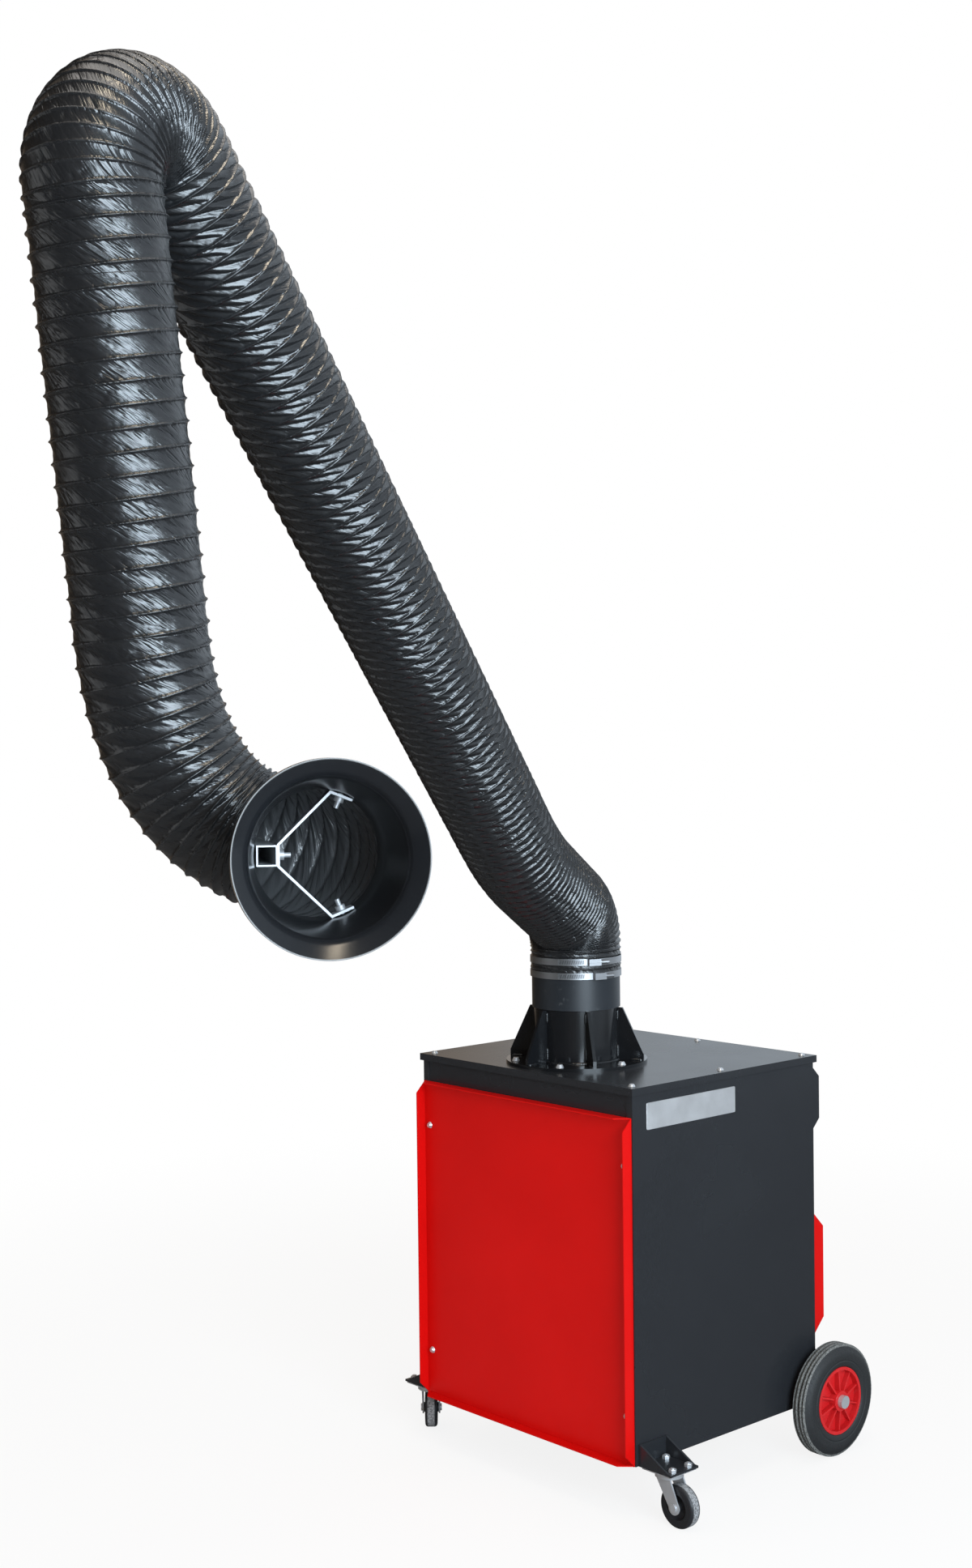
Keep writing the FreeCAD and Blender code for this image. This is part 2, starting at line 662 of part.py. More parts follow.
def door_panel():
    """The red front tray on the cabinet's front face."""
    blank = tray(door_width, door_height, s.door_flange)
    blank.Placement = turned(0, 0, 0, (X_AXIS, QUARTER_TURN))
    at(blank, -door_width / 2, -half_depth, underside)
    drills = holes(door_spots, screw_hole, "y", -half_depth - s.sheet_gauge - s.cut_over,
                   s.sheet_gauge + 2 * s.cut_over)
    node("door_panel", cut(blank, *drills))


def rear_tray(name, width, height, flange, rise, spots, *more_holes):
    """A tray on the cabinet's back, flanges pointing backwards."""
    blank = tray(width, height, flange)
    blank.Placement = turned(0, 0, 0, (X_AXIS, QUARTER_TURN), (Z_AXIS, HALF_TURN))
    at(blank, width / 2, rear_face, rise)
    drills = holes(spots, screw_hole, "y", rear_face - s.cut_over, s.sheet_gauge + 2 * s.cut_over)
    node(name, cut(blank, *drills, *more_holes))


def panel_bolts():
    """Every panel screw of the cabinet."""
    screws = []
    for x, y in lid_spots:
        screws.append(at(panel_screw(), x, y, lid_top))
    for x, z in door_spots:
        front = panel_screw()
        front.Placement = turned(0, 0, 0, (X_AXIS, QUARTER_TURN))
        screws.append(at(front, x, -half_depth - s.sheet_gauge, z))
    for x, z in cover_spots + panel_spots:
        back = panel_screw()
        back.Placement = turned(0, 0, 0, (X_AXIS, -QUARTER_TURN))
        screws.append(at(back, x, rear_face + s.sheet_gauge, z))
    node("panel_bolts", group(*screws))


def outlet_grille():
    """A slotted sheet on the back wall."""
    blank = box(grille_width, s.sheet_gauge, s.grille_height, -grille_width / 2, wall_face,
                grille_z)
    count = int(number(s.slot_count))
    inside = s.grille_height - 2 * s.grille_border
    pitch = inside / count
    slots = []
    for k in range(count):
        low = grille_z + s.grille_border + pitch * k + (pitch - s.slot_height) / 2
        slots.append(box(grille_width - 2 * s.grille_border, s.sheet_gauge + 2 * s.cut_over, s.slot_height,
                         s.grille_border - grille_width / 2, wall_face - s.cut_over, low))
    node("outlet_grille", cut(blank, *slots))


knob_z = panel_z + s.panel_height / 2
panel_front = rear_face + s.sheet_gauge


def cable_gland():
    """The mains gland in the control panel: nut, body and dome round the cable hole."""
    body = new_body()
    radius = s.gland_radius
    revolve(body, [(s.gland_bore, ZERO), (radius + s.gland_bore, ZERO), (radius + s.gland_bore, s.gland_length / 4),
                   (radius, s.gland_length / 4), (radius, s.gland_length * 2 / 3),
                   (s.gland_bore * 2, s.gland_length), (s.gland_bore, s.gland_length)])
    body.Placement = turned(0, 0, 0, (X_AXIS, -QUARTER_TURN))
    at(body, -s.gland_offset, panel_front, knob_z)
    node("cable_gland", body)


def switch_knob():
    """The rotary switch: disc, grip bar and spindle through the panel."""
    disc = cylinder(s.knob_radius, s.knob_height, z=s.fit_gap)
    grip = box(2 * s.knob_radius - s.knob_grip_width, s.knob_grip_width, s.knob_grip,
               s.knob_grip_width / 2 - s.knob_radius, -s.knob_grip_width / 2, s.knob_height)
    reach = 4 * s.sheet_gauge
    spindle = cylinder(s.knob_spindle, reach + s.knob_height, z=-reach)
    whole = fuse(disc, grip, spindle)
    whole.Placement = turned(0, 0, 0, (X_AXIS, -QUARTER_TURN))
    at(whole, s.knob_offset, panel_front, knob_z)
    node("switch_knob", whole)


def pipe_flange():
    """The welded inlet: flange plate, pipe and gussets."""
    body = new_body()
    bore = s.pipe_radius - s.pipe_wall
    revolve(body, [(bore, ZERO), (s.flange_radius, ZERO), (s.flange_radius, s.flange_thick),
                   (s.pipe_radius, s.flange_thick), (s.pipe_radius, s.pipe_height), (bore, s.pipe_height)])
    root = s.pipe_radius - s.weld_depth
    foot = s.flange_radius - s.gusset_inset
    low = s.flange_thick - s.weld_depth
    top = s.flange_thick + s.gusset_height
    gusset = outline(body, "XZ_Plane",
                     [(root, low), (foot, low), (foot, s.flange_thick + s.gusset_lip),
                      (s.pipe_radius + s.gusset_top, top), (root, top)], -s.gusset_thick / 2)
    polar(body, pad(body, gusset, s.gusset_thick), s.gusset_count)
    body.Placement = turned(0, 0, 0, (Z_AXIS, -QUARTER_TURN))
    at(body, y=pipe_y, z=lid_top)
    drills = holes(flange_spots, flange_hole, "z", lid_top - s.cut_over, s.flange_thick + 2 * s.cut_over)
    node("pipe_flange", cut(body, *drills))


def flange_bolts():
    bolts = []
    for x, y in flange_spots:
        bolt = screw(s.flange_screw_radius, s.flange_screw_length, s.flange_head_radius, s.flange_head_height)
        bolts.append(at(bolt, x, y, lid_top + s.flange_thick))
    node("flange_bolts", group(*bolts))


def filter_parts():
    """Divider, cassette, seal and inlet cone between the dirty and the clean chamber."""
    half = inner_half - s.sheet_gauge - s.fit_gap
    blank = box(2 * half, s.sheet_gauge, lid_under - floor_top, -half, divider_y, floor_top)
    fan_z = underside + s.fan_height
    eye = s.fan_eye - s.fit_gap - 2 * s.fan_plate
    mouth = cylinder(eye, s.sheet_gauge + 2 * s.cut_over, y=divider_y - s.cut_over, z=fan_z, along="y")
    node("divider_plate", cut(blank, mouth))
    seal_y = divider_y - s.seal_thick
    frame = s.cassette_border
    low = floor_top
    outer = box(cassette_width, s.seal_thick, s.cassette_height, -cassette_width / 2, seal_y, low)
    inner = box(cassette_width - 2 * frame, s.seal_thick + 2 * s.cut_over, s.cassette_height - 2 * frame,
                frame - cassette_width / 2, seal_y - s.cut_over, low + frame)
    node("filter_seal", cut(outer, inner))
    back = seal_y - s.cassette_depth
    block = box(cassette_width, s.cassette_depth, s.cassette_height, -cassette_width / 2, back, low)
    recesses = []
    for y in (back - s.cut_over, seal_y - s.cassette_recess):
        recesses.append(box(cassette_width - 2 * frame, s.cassette_recess + s.cut_over,
                            s.cassette_height - 2 * frame, frame - cassette_width / 2, y, low + frame))
    node("filter_cassette", cut(block, *recesses))
    body = new_body()
    reach = s.fan_gap + s.fan_plate + s.cone_overlap
    wall = eye + s.fan_plate
    rim = s.fan_eye + s.fan_hub
    revolve(body, [(eye, ZERO), (rim, ZERO), (rim, s.fan_plate), (wall, s.fan_plate), (wall, reach), (eye, reach)])
    body.Placement = turned(0, 0, 0, (X_AXIS, -QUARTER_TURN))
    at(body, y=divider_y + s.sheet_gauge, z=fan_z)
    node("inlet_cone", body)


def fan_parts():
    """Impeller with its shaft, motor and motor bracket in the clean chamber."""
    fan_z = underside + s.fan_height
    body = new_body()
    back = s.fan_width - s.fan_plate
    end = s.fan_width + s.motor_gap + s.motor_shaft_depth
    revolve(body, [(ZERO, s.fan_width / 2), (s.fan_hub, s.fan_width / 2), (s.fan_hub, back), (s.fan_radius, back),
                   (s.fan_radius, s.fan_width), (s.shaft_radius, s.fan_width), (s.shaft_radius, end), (ZERO, end)])
    blade = outline(body, "XY_Plane",
                    [(s.fan_eye, -s.blade_thick / 2), (s.fan_radius, s.fan_hub - s.blade_thick / 2),
                     (s.fan_radius, s.fan_hub + s.blade_thick / 2), (s.fan_eye, s.blade_thick / 2)], s.fan_plate / 2)
    polar(body, pad(body, blade, s.fan_width - s.fan_plate), s.blade_count)
    rim = new_body()
    revolve(rim, [(s.fan_eye, ZERO), (s.fan_radius + s.fan_hub / 4, ZERO),
                  (s.fan_radius + s.fan_hub / 4, s.fan_plate), (s.fan_eye, s.fan_plate)])
    wheel = fuse(body, rim)
    wheel.Placement = turned(0, 0, 0, (X_AXIS, -QUARTER_TURN))
    at(wheel, y=fan_y, z=fan_z)
    node("impeller", wheel)
    motor = new_body()
    step = s.motor_step
    shield = s.motor_radius - step
    length = s.motor_length
    bore = s.shaft_radius + s.run_gap
    depth = s.motor_shaft_depth + s.motor_step
    revolve(motor, [(bore, ZERO), (shield, ZERO), (shield, step), (s.motor_radius, step),
                    (s.motor_radius, length - step), (shield, length - step), (shield, length),
                    (ZERO, length), (ZERO, depth), (bore, depth)])
    motor.Placement = turned(0, 0, 0, (X_AXIS, -QUARTER_TURN))
    at(motor, y=motor_y, z=fan_z)
    node("motor", motor)
    saddle_y = motor_y + step
    saddle = length - 2 * step
    stand = box(s.bracket_foot, saddle, fan_z - floor_top, -s.bracket_foot / 2, saddle_y, floor_top)
    hollow = box(s.bracket_foot - 2 * s.bracket_sheet, saddle + 2 * s.cut_over,
                 fan_z - floor_top - s.motor_radius - 2 * s.bracket_sheet,
                 s.bracket_sheet - s.bracket_foot / 2, saddle_y - s.cut_over, floor_top + s.bracket_sheet)
    seat = cylinder(s.motor_radius + s.run_gap, saddle + 2 * s.cut_over, y=saddle_y - s.cut_over, z=fan_z, along="y")
    node("motor_bracket", cut(stand, hollow, seat))


def castor_places():
    """Swivel axis and trail direction of each castor."""
    out = half_width + s.castor_out
    return {"right": (1, out, s.castor_turn_right), "left": (-1, -out, s.castor_turn_left)}


crown_top = s.cab_lift - s.castor_plate_thick - s.fit_gap
crown_low = crown_top - s.crown_height


def castor_brackets():
    """Outriggers: back plate on the cabinet's side, floor plate and two sloping cheeks."""
    brackets = []
    for side, swivel_x, turn in castor_places().values():
        thick = s.bracket_thick
        base = box(s.bracket_reach, s.bracket_width, thick)
        back = box(thick, s.bracket_width, s.bracket_height)
        cheeks = []
        for y in (thick, s.bracket_width):
            cheek = trapezoid(ZERO, s.bracket_reach, ZERO, thick, s.bracket_height, thick)
            cheek.Placement = turned(0, y, 0, (X_AXIS, QUARTER_TURN))
            cheeks.append(at(cheek, y=y))
        whole = fuse(base, back, *cheeks)
        degrees = 0 if side > 0 else HALF_TURN
        whole.Placement = turned(0, 0, 0, (Z_AXIS, degrees))
        at(whole, side * half_width, castor_y - side * s.bracket_width / 2, underside)
        brackets.append(whole)
    node("castor_brackets", group(*brackets))


def castor_plates():
    """Castor top plates with their kingpins."""
    plates = []
    for side, swivel_x, turn in castor_places().values():
        length = s.castor_plate_length
        plate = box(length, length, s.castor_plate_thick, -length / 2, -length / 2, -s.castor_plate_thick)
        drop = s.castor_plate_thick + 2 * s.fit_gap + s.crown_height
        kingpin = cylinder(s.kingpin_radius, drop, z=-drop)
        head = cylinder(s.kingpin_head, s.kingpin_head_height, z=-drop - s.kingpin_head_height)
        plates.append(at(fuse(plate, kingpin, head), swivel_x, castor_y, underside))
    node("castor_plates", group(*plates))


def castor(name, swivel_x, turn):
    """One castor's fork, axle and wheel, drawn with its trail along +x and then turned."""
    spot = turned(swivel_x, castor_y, 0, (Z_AXIS, turn))
    leg_in = s.castor_width / 2 + s.fork_gap
    crown = cylinder(s.crown_radius, s.crown_height, z=crown_low)
    legs = []
    for y in (-leg_in, leg_in + s.fork_thick):
        trail = s.castor_trail
        rise = crown_low + s.weld_depth - s.castor_radius
        leg = trapezoid(trail - s.fork_end, trail + s.fork_end, -s.crown_radius * 2 / 3, s.crown_radius * 2 / 3,
                        rise, s.fork_thick)
        leg.Placement = turned(0, y, s.castor_radius, (X_AXIS, QUARTER_TURN))
        legs.append(at(leg, y=y, z=s.castor_radius))
        legs.append(cylinder(s.fork_end, s.fork_thick, trail, y - s.fork_thick, s.castor_radius, along="y"))
    bore = cylinder(s.kingpin_radius + s.run_gap, s.crown_height + 2 * s.cut_over, z=crown_low - s.cut_over)
    span = 2 * (leg_in + s.fork_thick)
    pin_hole = cylinder(s.castor_axle_radius + s.run_gap, span + 2 * s.cut_over, s.castor_trail,
                        -span / 2 - s.cut_over, s.castor_radius, along="y")
    node(f"castor_fork_{name}", cut(fuse(crown, *legs), bore, pin_hole), spot)
    pin = cylinder(s.castor_axle_radius, span, s.castor_trail, -span / 2, s.castor_radius, along="y")
    heads = [cylinder(s.castor_axle_head, s.fork_thick, s.castor_trail, y, s.castor_radius, along="y")
             for y in (-span / 2 - s.fork_thick, span / 2)]
    node(f"castor_axle_{name}", fuse(pin, *heads), spot)
    body = new_body()
    half = s.castor_width / 2
    hub = s.castor_radius / 2
    bore = s.castor_axle_radius + s.run_gap
    side = leg_in - s.fit_gap
    revolve(body, [(bore, -side), (hub / 2, -side), (hub / 2, -half / 2), (hub, -half / 2),
                   (hub + half / 3, -half), (s.castor_radius, -half), (s.castor_radius, half), (hub + half / 3, half),
                   (hub, half / 2), (hub / 2, half / 2), (hub / 2, side), (bore, side)])
    round_edges(body, half / 2, ring(s.castor_radius))
    place = Placement(Vector(number(s.castor_trail), 0, number(s.castor_radius)), Rotation(X_AXIS, -QUARTER_TURN))
    node(f"castor_wheel_{name}", body, spot.multiply(place))


axle_y = rear_face + s.axle_back
axle_z = s.wheel_radius
wheel_in = half_width + s.wheel_side_gap
wheel_out = wheel_in + s.wheel_width
axle_half = wheel_out + s.fit_gap + s.cap_depth - s.cap_end


def rear_axle_parts():
    """Axle, its two caps and the plates that hang it on the cabinet's back."""
    axle = cylinder(s.axle_radius, 2 * axle_half, -axle_half, axle_y, axle_z, along="x")
    node("rear_axle", axle)
    caps = []
    for side in (1, -1):
        body = new_body()
        revolve(body, [(s.axle_radius + s.run_gap, ZERO), (s.cap_radius, ZERO), (s.cap_radius, s.cap_depth),
                       (ZERO, s.cap_depth), (ZERO, s.cap_depth - s.cap_end),
                       (s.axle_radius + s.run_gap, s.cap_depth - s.cap_end)])
        body.Placement = turned(0, 0, 0, (Y_AXIS, side * QUARTER_TURN))
        caps.append(at(body, side * (wheel_out + s.fit_gap), axle_y, axle_z))
    node("axle_caps", group(*caps))
    plates = []
    thick = s.axle_bracket_thick
    low = underside - s.axle_bracket_drop - s.axle_radius * 2
    slope = s.axle_bracket_reach / 2
    for side in (1, -1):
        plate = trapezoid(ZERO, s.axle_bracket_height + s.axle_radius * 2, ZERO,
                          s.axle_bracket_height + s.axle_radius * 2 - slope * 2, s.axle_bracket_reach, thick)
        plate.Placement = turned(0, 0, 0, (Y_AXIS, -QUARTER_TURN))
        inner = side * (half_width - s.side_return / 2) - thick / 2
        at(plate, inner + thick, rear_face, low)
        hole = cylinder(s.axle_radius + s.run_gap, thick + 2 * s.cut_over, inner - s.cut_over, axle_y, axle_z,
                        along="x")
        plates.append(cut(plate, hole))
    node("axle_brackets", group(*plates))


def rear_wheel(name, side):
    """A rubber tyre on a ribbed plastic hub."""
    spot = turned(side * wheel_in, axle_y, axle_z, (Y_AXIS, side * QUARTER_TURN))
    width = s.wheel_width
    mid = width / 2
    groove = s.tyre_groove
    tread = s.wheel_radius
    profile = [(s.hub_radius, ZERO), (tread, ZERO)]
    for k in (-1, 0, 1):
        centre = mid + k * s.groove_spread
        profile += [(tread, centre - groove / 2), (tread - groove, centre - groove / 2),
                    (tread - groove, centre + groove / 2), (tread, centre + groove / 2)]
    profile += [(tread, width), (s.hub_radius, width)]
    tyre = new_body()
    revolve(tyre, profile)

    def shoulder(edge):
        outer = ring(tread)(edge)
        low, high = 0, number(width)
        level = edge.BoundBox.ZMin
        return outer and min(abs(level - low), abs(level - high)) < number(s.run_gap)

    round_edges(tyre, s.tyre_shoulder, shoulder)
    node(f"tyre_{name}", tyre, spot)
    hub = new_body()
    bore = s.axle_radius + s.run_gap
    rim_in = s.hub_radius - s.hub_rim
    face = width - s.hub_rim / 2
    web = face - s.hub_dish - s.hub_web
    revolve(hub, [(bore, s.hub_rim), (s.hub_boss, s.hub_rim), (s.hub_boss, web), (rim_in, web), (rim_in, s.hub_rim),
                  (s.hub_radius, s.hub_rim), (s.hub_radius, face), (rim_in, face), (rim_in, web + s.hub_web),
                  (s.hub_boss, web + s.hub_web), (s.hub_boss, width), (bore, width)])
    rib = outline(hub, "XZ_Plane", [(s.hub_boss - s.weld_depth, web), (rim_in + s.weld_depth, web),
                                    (rim_in + s.weld_depth, face - s.hub_rim / 2),
                                    (s.hub_boss - s.weld_depth, face)], -s.hub_rib / 2)
    polar(hub, pad(hub, rib, s.hub_rib), s.hub_rib_count)
    node(f"hub_{name}", hub, spot)


# The arm plane: joints and the route of the hose, worked out along its runs and bends
arm_frame = Placement(Vector(0, number(pipe_y), 0), Rotation(Z_AXIS, number(s.arm_azimuth) - QUARTER_TURN))
collar_top_z = number(lid_top + s.collar_top)


def walk(point, heading, run=0.0, bend=0.0, turn=0.0):
    """Step along a straight run or round a bend; a positive turn climbs. Angles in degrees."""
    angle = math.radians(heading)
    ahead = (math.cos(angle), math.sin(angle))
    if not bend:
        return (point[0] + run * ahead[0], point[1] + run * ahead[1]), heading
    side = math.copysign(1, turn)
    centre = (point[0] - side * bend * ahead[1], point[1] + side * bend * ahead[0])
    new = math.radians(heading + turn)
    return (centre[0] + side * bend * math.sin(new), centre[1] - side * bend * math.cos(new)), heading + turn


HOSE_STEPS = (
    ("rise", dict(run=number(s.hose_start))),
    ("shoulder", dict(bend=number(s.shoulder_bend), turn=-number(s.shoulder_turn))),
    ("sag", dict(run=number(s.sag_run))),
    ("lift", dict(bend=number(s.sag_bend), turn=number(s.sag_turn))),
    ("leg", dict(run=number(s.leg_run))),
    ("elbow", dict(bend=number(s.elbow_bend), turn=-number(s.elbow_turn))),
    ("hang", dict(run=number(s.hang_run))),
)


def step_length(step):
    return step.get("run", 0.0) or step["bend"] * math.radians(abs(step["turn"]))


route = []
spot, heading, travelled = (0.0, collar_top_z), float(QUARTER_TURN), 0.0
stations = {}
for name, step in HOSE_STEPS:
    stations[name] = (travelled, spot, heading)
    route.append((travelled, spot, heading, step))
    spot, heading = walk(spot, heading, **step)
    travelled += step_length(step)
hang_end, hang_heading = spot, heading
stations["end"] = (travelled, hang_end, hang_heading)


def hose_point(distance):
    """Point and heading of the hose's centre line at a distance from the collar's top."""
    start, point, heading, step = [leg for leg in route if leg[0] <= distance + number(s.run_gap)][-1]
    along = distance - start
    if "run" in step:
        return walk(point, heading, run=along)
    return walk(point, heading, bend=step["bend"], turn=step["turn"] * along / step_length(step))


def in_plane(point, w=0.0):
    return Vector(point[0], w, point[1])


def plane_spot(point, degrees=0.0, w=0.0):
    """A placement in the arm plane with x turned up by an angle."""
    return arm_frame.multiply(Placement(in_plane(point, w), Rotation(Y_AXIS, -degrees)))


shoulder_point = (0.0, collar_top_z + number(s.shoulder_lift))
elbow_start = stations["elbow"][1]
elbow_heading = stations["elbow"][2]
bend_angle = math.radians(elbow_heading)
bend_centre = (elbow_start[0] + number(s.elbow_bend) * math.sin(bend_angle),
               elbow_start[1] - number(s.elbow_bend) * math.cos(bend_angle))
apex = math.radians(elbow_heading + QUARTER_TURN - number(s.elbow_turn) / 2)
elbow_point = (bend_centre[0] + number(s.elbow_pivot_reach) * math.cos(apex),
               bend_centre[1] + number(s.elbow_pivot_reach) * math.sin(apex))
lower_end = hose_point(stations["elbow"][0] - number(s.elbow_tube_gap))[0]
upper_start = hose_point(stations["hang"][0] + number(s.elbow_tube_gap))[0]
upper_end = walk(hang_end, hang_heading, run=number(s.tube_end_run))[0]


def span(first, second):
    """Length and climb of the line between two points of the arm plane."""
    du, dz = second[0] - first[0], second[1] - first[1]
    return math.hypot(du, dz), math.degrees(math.atan2(dz, du))


half_tube = s.tube_side / 2
disc_face = half_tube + s.run_gap
ear_face = disc_face + s.disc_thick + s.run_gap
pivot_hole = s.pivot_radius + s.run_gap


def square_tube(before, after, hole_at=None):
    """A square tube along x with a pivot hole across it."""
    bore = s.tube_side - 2 * s.tube_wall
    outer = box(before + after, s.tube_side, s.tube_side, -before, -half_tube, -half_tube)
    tools = [box(before + after + 2 * s.cut_over, bore, bore, -before - s.cut_over, -bore / 2, -bore / 2)]
    if hole_at is not None:
        tools.append(cylinder(pivot_hole, s.tube_side + 2 * s.cut_over, hole_at, -half_tube - s.cut_over, along="y"))
    return cut(outer, *tools)


def pivot_bolt(face):
    """A bolt across the arm plane with a head at each face."""
    shank = cylinder(s.pivot_radius, 2 * face, y=-face, along="y")
    heads = [cylinder(s.pivot_head, s.pivot_head_height, y=y, along="y") for y in (-face - s.pivot_head_height, face)]
    return fuse(shank, *heads)


def friction_discs(inner):
    discs = []
    for y in (inner, -inner - s.disc_thick):
        disc = cylinder(s.disc_radius, s.disc_thick, y=y, along="y")
        hole = cylinder(pivot_hole, s.disc_thick + 2 * s.cut_over, y=y - s.cut_over, along="y")
        discs.append(cut(disc, hole))
    return group(*discs)


def swivel_collar():
    """The collar that turns on the pipe, with the lip that carries the arm."""
    body = new_body()
    inner = s.pipe_radius + s.fit_gap
    outer = inner + s.collar_wall
    lip = s.pipe_radius - s.pipe_wall - s.collar_lip_width
    lip_low = s.pipe_height + s.fit_gap
    lip_top = lip_low + s.collar_lip
    revolve(body, [(inner, s.collar_rise), (outer, s.collar_rise), (outer, s.collar_top), (inner, s.collar_top),
                   (inner, lip_top), (lip, lip_top), (lip, lip_low), (inner, lip_low)])
    at(body, y=pipe_y, z=lid_top)
    node("swivel_collar", body)


def shoulder_parts():
    """Cross bar with ears on the collar's lip, the shoulder bolt and its friction discs."""
    lip_top = lid_top + s.pipe_height + s.fit_gap + s.collar_lip
    half_bar = s.pipe_radius - s.fit_gap
    pivot = lid_top + s.collar_top + s.shoulder_lift
    reach = ear_face + s.ear_thick
    blank = box(s.bar_width, 2 * half_bar, s.bar_thick, -s.bar_width / 2, -half_bar, lip_top)
    rim = cylinder(half_bar, s.bar_thick, z=lip_top)
    bar = doc.addObject("Part::Common", "bar")
    bar.Base = blank
    bar.Tool = rim
    ears = []
    for y in (ear_face, -reach):
        foot = lip_top + s.bar_thick - s.weld_depth
        ears.append(box(s.ear_width, s.ear_thick, pivot - foot, -s.ear_width / 2, y, foot))
        ears.append(cylinder(s.ear_width / 2, s.ear_thick, y=y, z=pivot, along="y"))
    hole = cylinder(pivot_hole, 2 * reach + 2 * s.cut_over, y=-reach - s.cut_over, z=pivot, along="y")
    node("shoulder_bracket", cut(fuse(bar, *ears), hole), arm_frame)
    node("shoulder_bolt", pivot_bolt(reach), plane_spot(shoulder_point))
    node("shoulder_discs", friction_discs(disc_face), plane_spot(shoulder_point))


def hose_clamps():
    """Two worm-drive bands round the hose end, housings turned to the front."""
    inner = s.pipe_radius + s.fit_gap + s.collar_wall + s.cuff_wall + 2 * s.run_gap
    clamps = []
    for k in range(2):
        top = lid_top + s.collar_top - s.clamp_drop - k * s.clamp_gap
        low = top - s.clamp_width
        band = cut(cylinder(inner + s.clamp_band, s.clamp_width, z=low),
                   cylinder(inner, s.clamp_width + 2 * s.cut_over, z=low - s.cut_over))
        middle = low + s.clamp_width / 2
        crown = inner + s.clamp_band
        housing = box(s.clamp_housing_height, s.clamp_housing_length, s.clamp_width, crown - s.clamp_band / 2,
                      -s.clamp_housing_length / 2, low)
        worm = cylinder(s.worm_radius, s.worm_length, crown + s.clamp_housing_height / 2,
                        -s.clamp_housing_length / 2, middle, along="y")
        trim = cylinder(inner, s.clamp_width + 2 * s.cut_over, z=low - s.cut_over)
        clamp = cut(fuse(band, housing, worm), trim)
        turn = s.arm_azimuth + s.clamp_turn + k * s.clamp_turn_step - QUARTER_TURN
        clamps.append(carry(clamp, turned(0, pipe_y, 0, (Z_AXIS, turn))))
    node("hose_clamps", group(*clamps))


def lower_arm_parts():
    length, climb = span(shoulder_point, lower_end)
    node("lower_arm_tube", square_tube(s.tube_tail, as_size(length), ZERO), plane_spot(shoulder_point, climb))
    lap = (lower_end[0] - number(s.plate_lap) * math.cos(math.radians(climb)),
           lower_end[1] - number(s.plate_lap) * math.sin(math.radians(climb)))
    node("lower_elbow_plates", elbow_plates(lap, half_tube), plane_spot(elbow_point, span(elbow_point, lap)[1]))
    node("elbow_bolt", pivot_bolt(half_tube + 2 * s.elbow_plate_thick + s.disc_thick + 2 * s.run_gap),
         plane_spot(elbow_point))
    node("elbow_discs", friction_discs(half_tube + s.elbow_plate_thick + s.run_gap), plane_spot(elbow_point))


def elbow_plates(far, face, boss=False):
    """Two round-ended plates from the elbow pivot to a tube end, with spacer bosses if asked."""
    length = as_size(span(elbow_point, far)[0])
    half = s.elbow_plate_width / 2
    thick = s.elbow_plate_thick
    plates = []
    for side in (1, -1):
        low = face if side > 0 else -face - thick
        pieces = [box(length, thick, 2 * half, ZERO, low, -half), cylinder(half, thick, y=low, along="y"),
                  cylinder(half, thick, length, low, along="y")]
        if boss:
            start = half_tube if side > 0 else -face
            pieces.append(cylinder(s.boss_radius, face - half_tube, length, start, along="y"))
        hole = cylinder(pivot_hole, thick + 2 * s.cut_over, y=low - s.cut_over, along="y")
        plates.append(cut(fuse(*pieces), hole))
    return group(*plates)


def upper_arm_parts():
    length, climb = span(upper_start, upper_end)
    node("upper_arm_tube", square_tube(ZERO, as_size(length)), plane_spot(upper_start, climb))
    lap = walk(upper_start, hang_heading, run=number(s.plate_lap))[0]
    face = half_tube + s.elbow_plate_thick + s.disc_thick + 2 * s.run_gap
    node("upper_elbow_plates", elbow_plates(lap, face, boss=True),
         plane_spot(elbow_point, span(elbow_point, lap)[1]))
    bore = s.tube_side - 2 * s.tube_wall - 2 * s.run_gap
    block = box(s.bush_length, bore, bore, -s.bush_length, -bore / 2, -bore / 2)
    hole = cylinder(s.spindle_radius + s.run_gap, s.bush_length + 2 * s.cut_over, -s.bush_length - s.cut_over, along="x")
    node("turn_bush", cut(block, hole), plane_spot(upper_end, hang_heading))


neck_shift = Vector(-number(s.neck_back), 0, -number(s.neck_drop))
neck_world = arm_frame.multVec(in_plane(hang_end, number(s.neck_side)) + neck_shift)
hood_frame = Placement(neck_world, Rotation(Z_AXIS, number(s.hood_azimuth) - QUARTER_TURN))
tilt_local = Vector(-number(s.stub_back), -number(s.stub_offset), 0)
tilt_world = hood_frame.multVec(tilt_local)


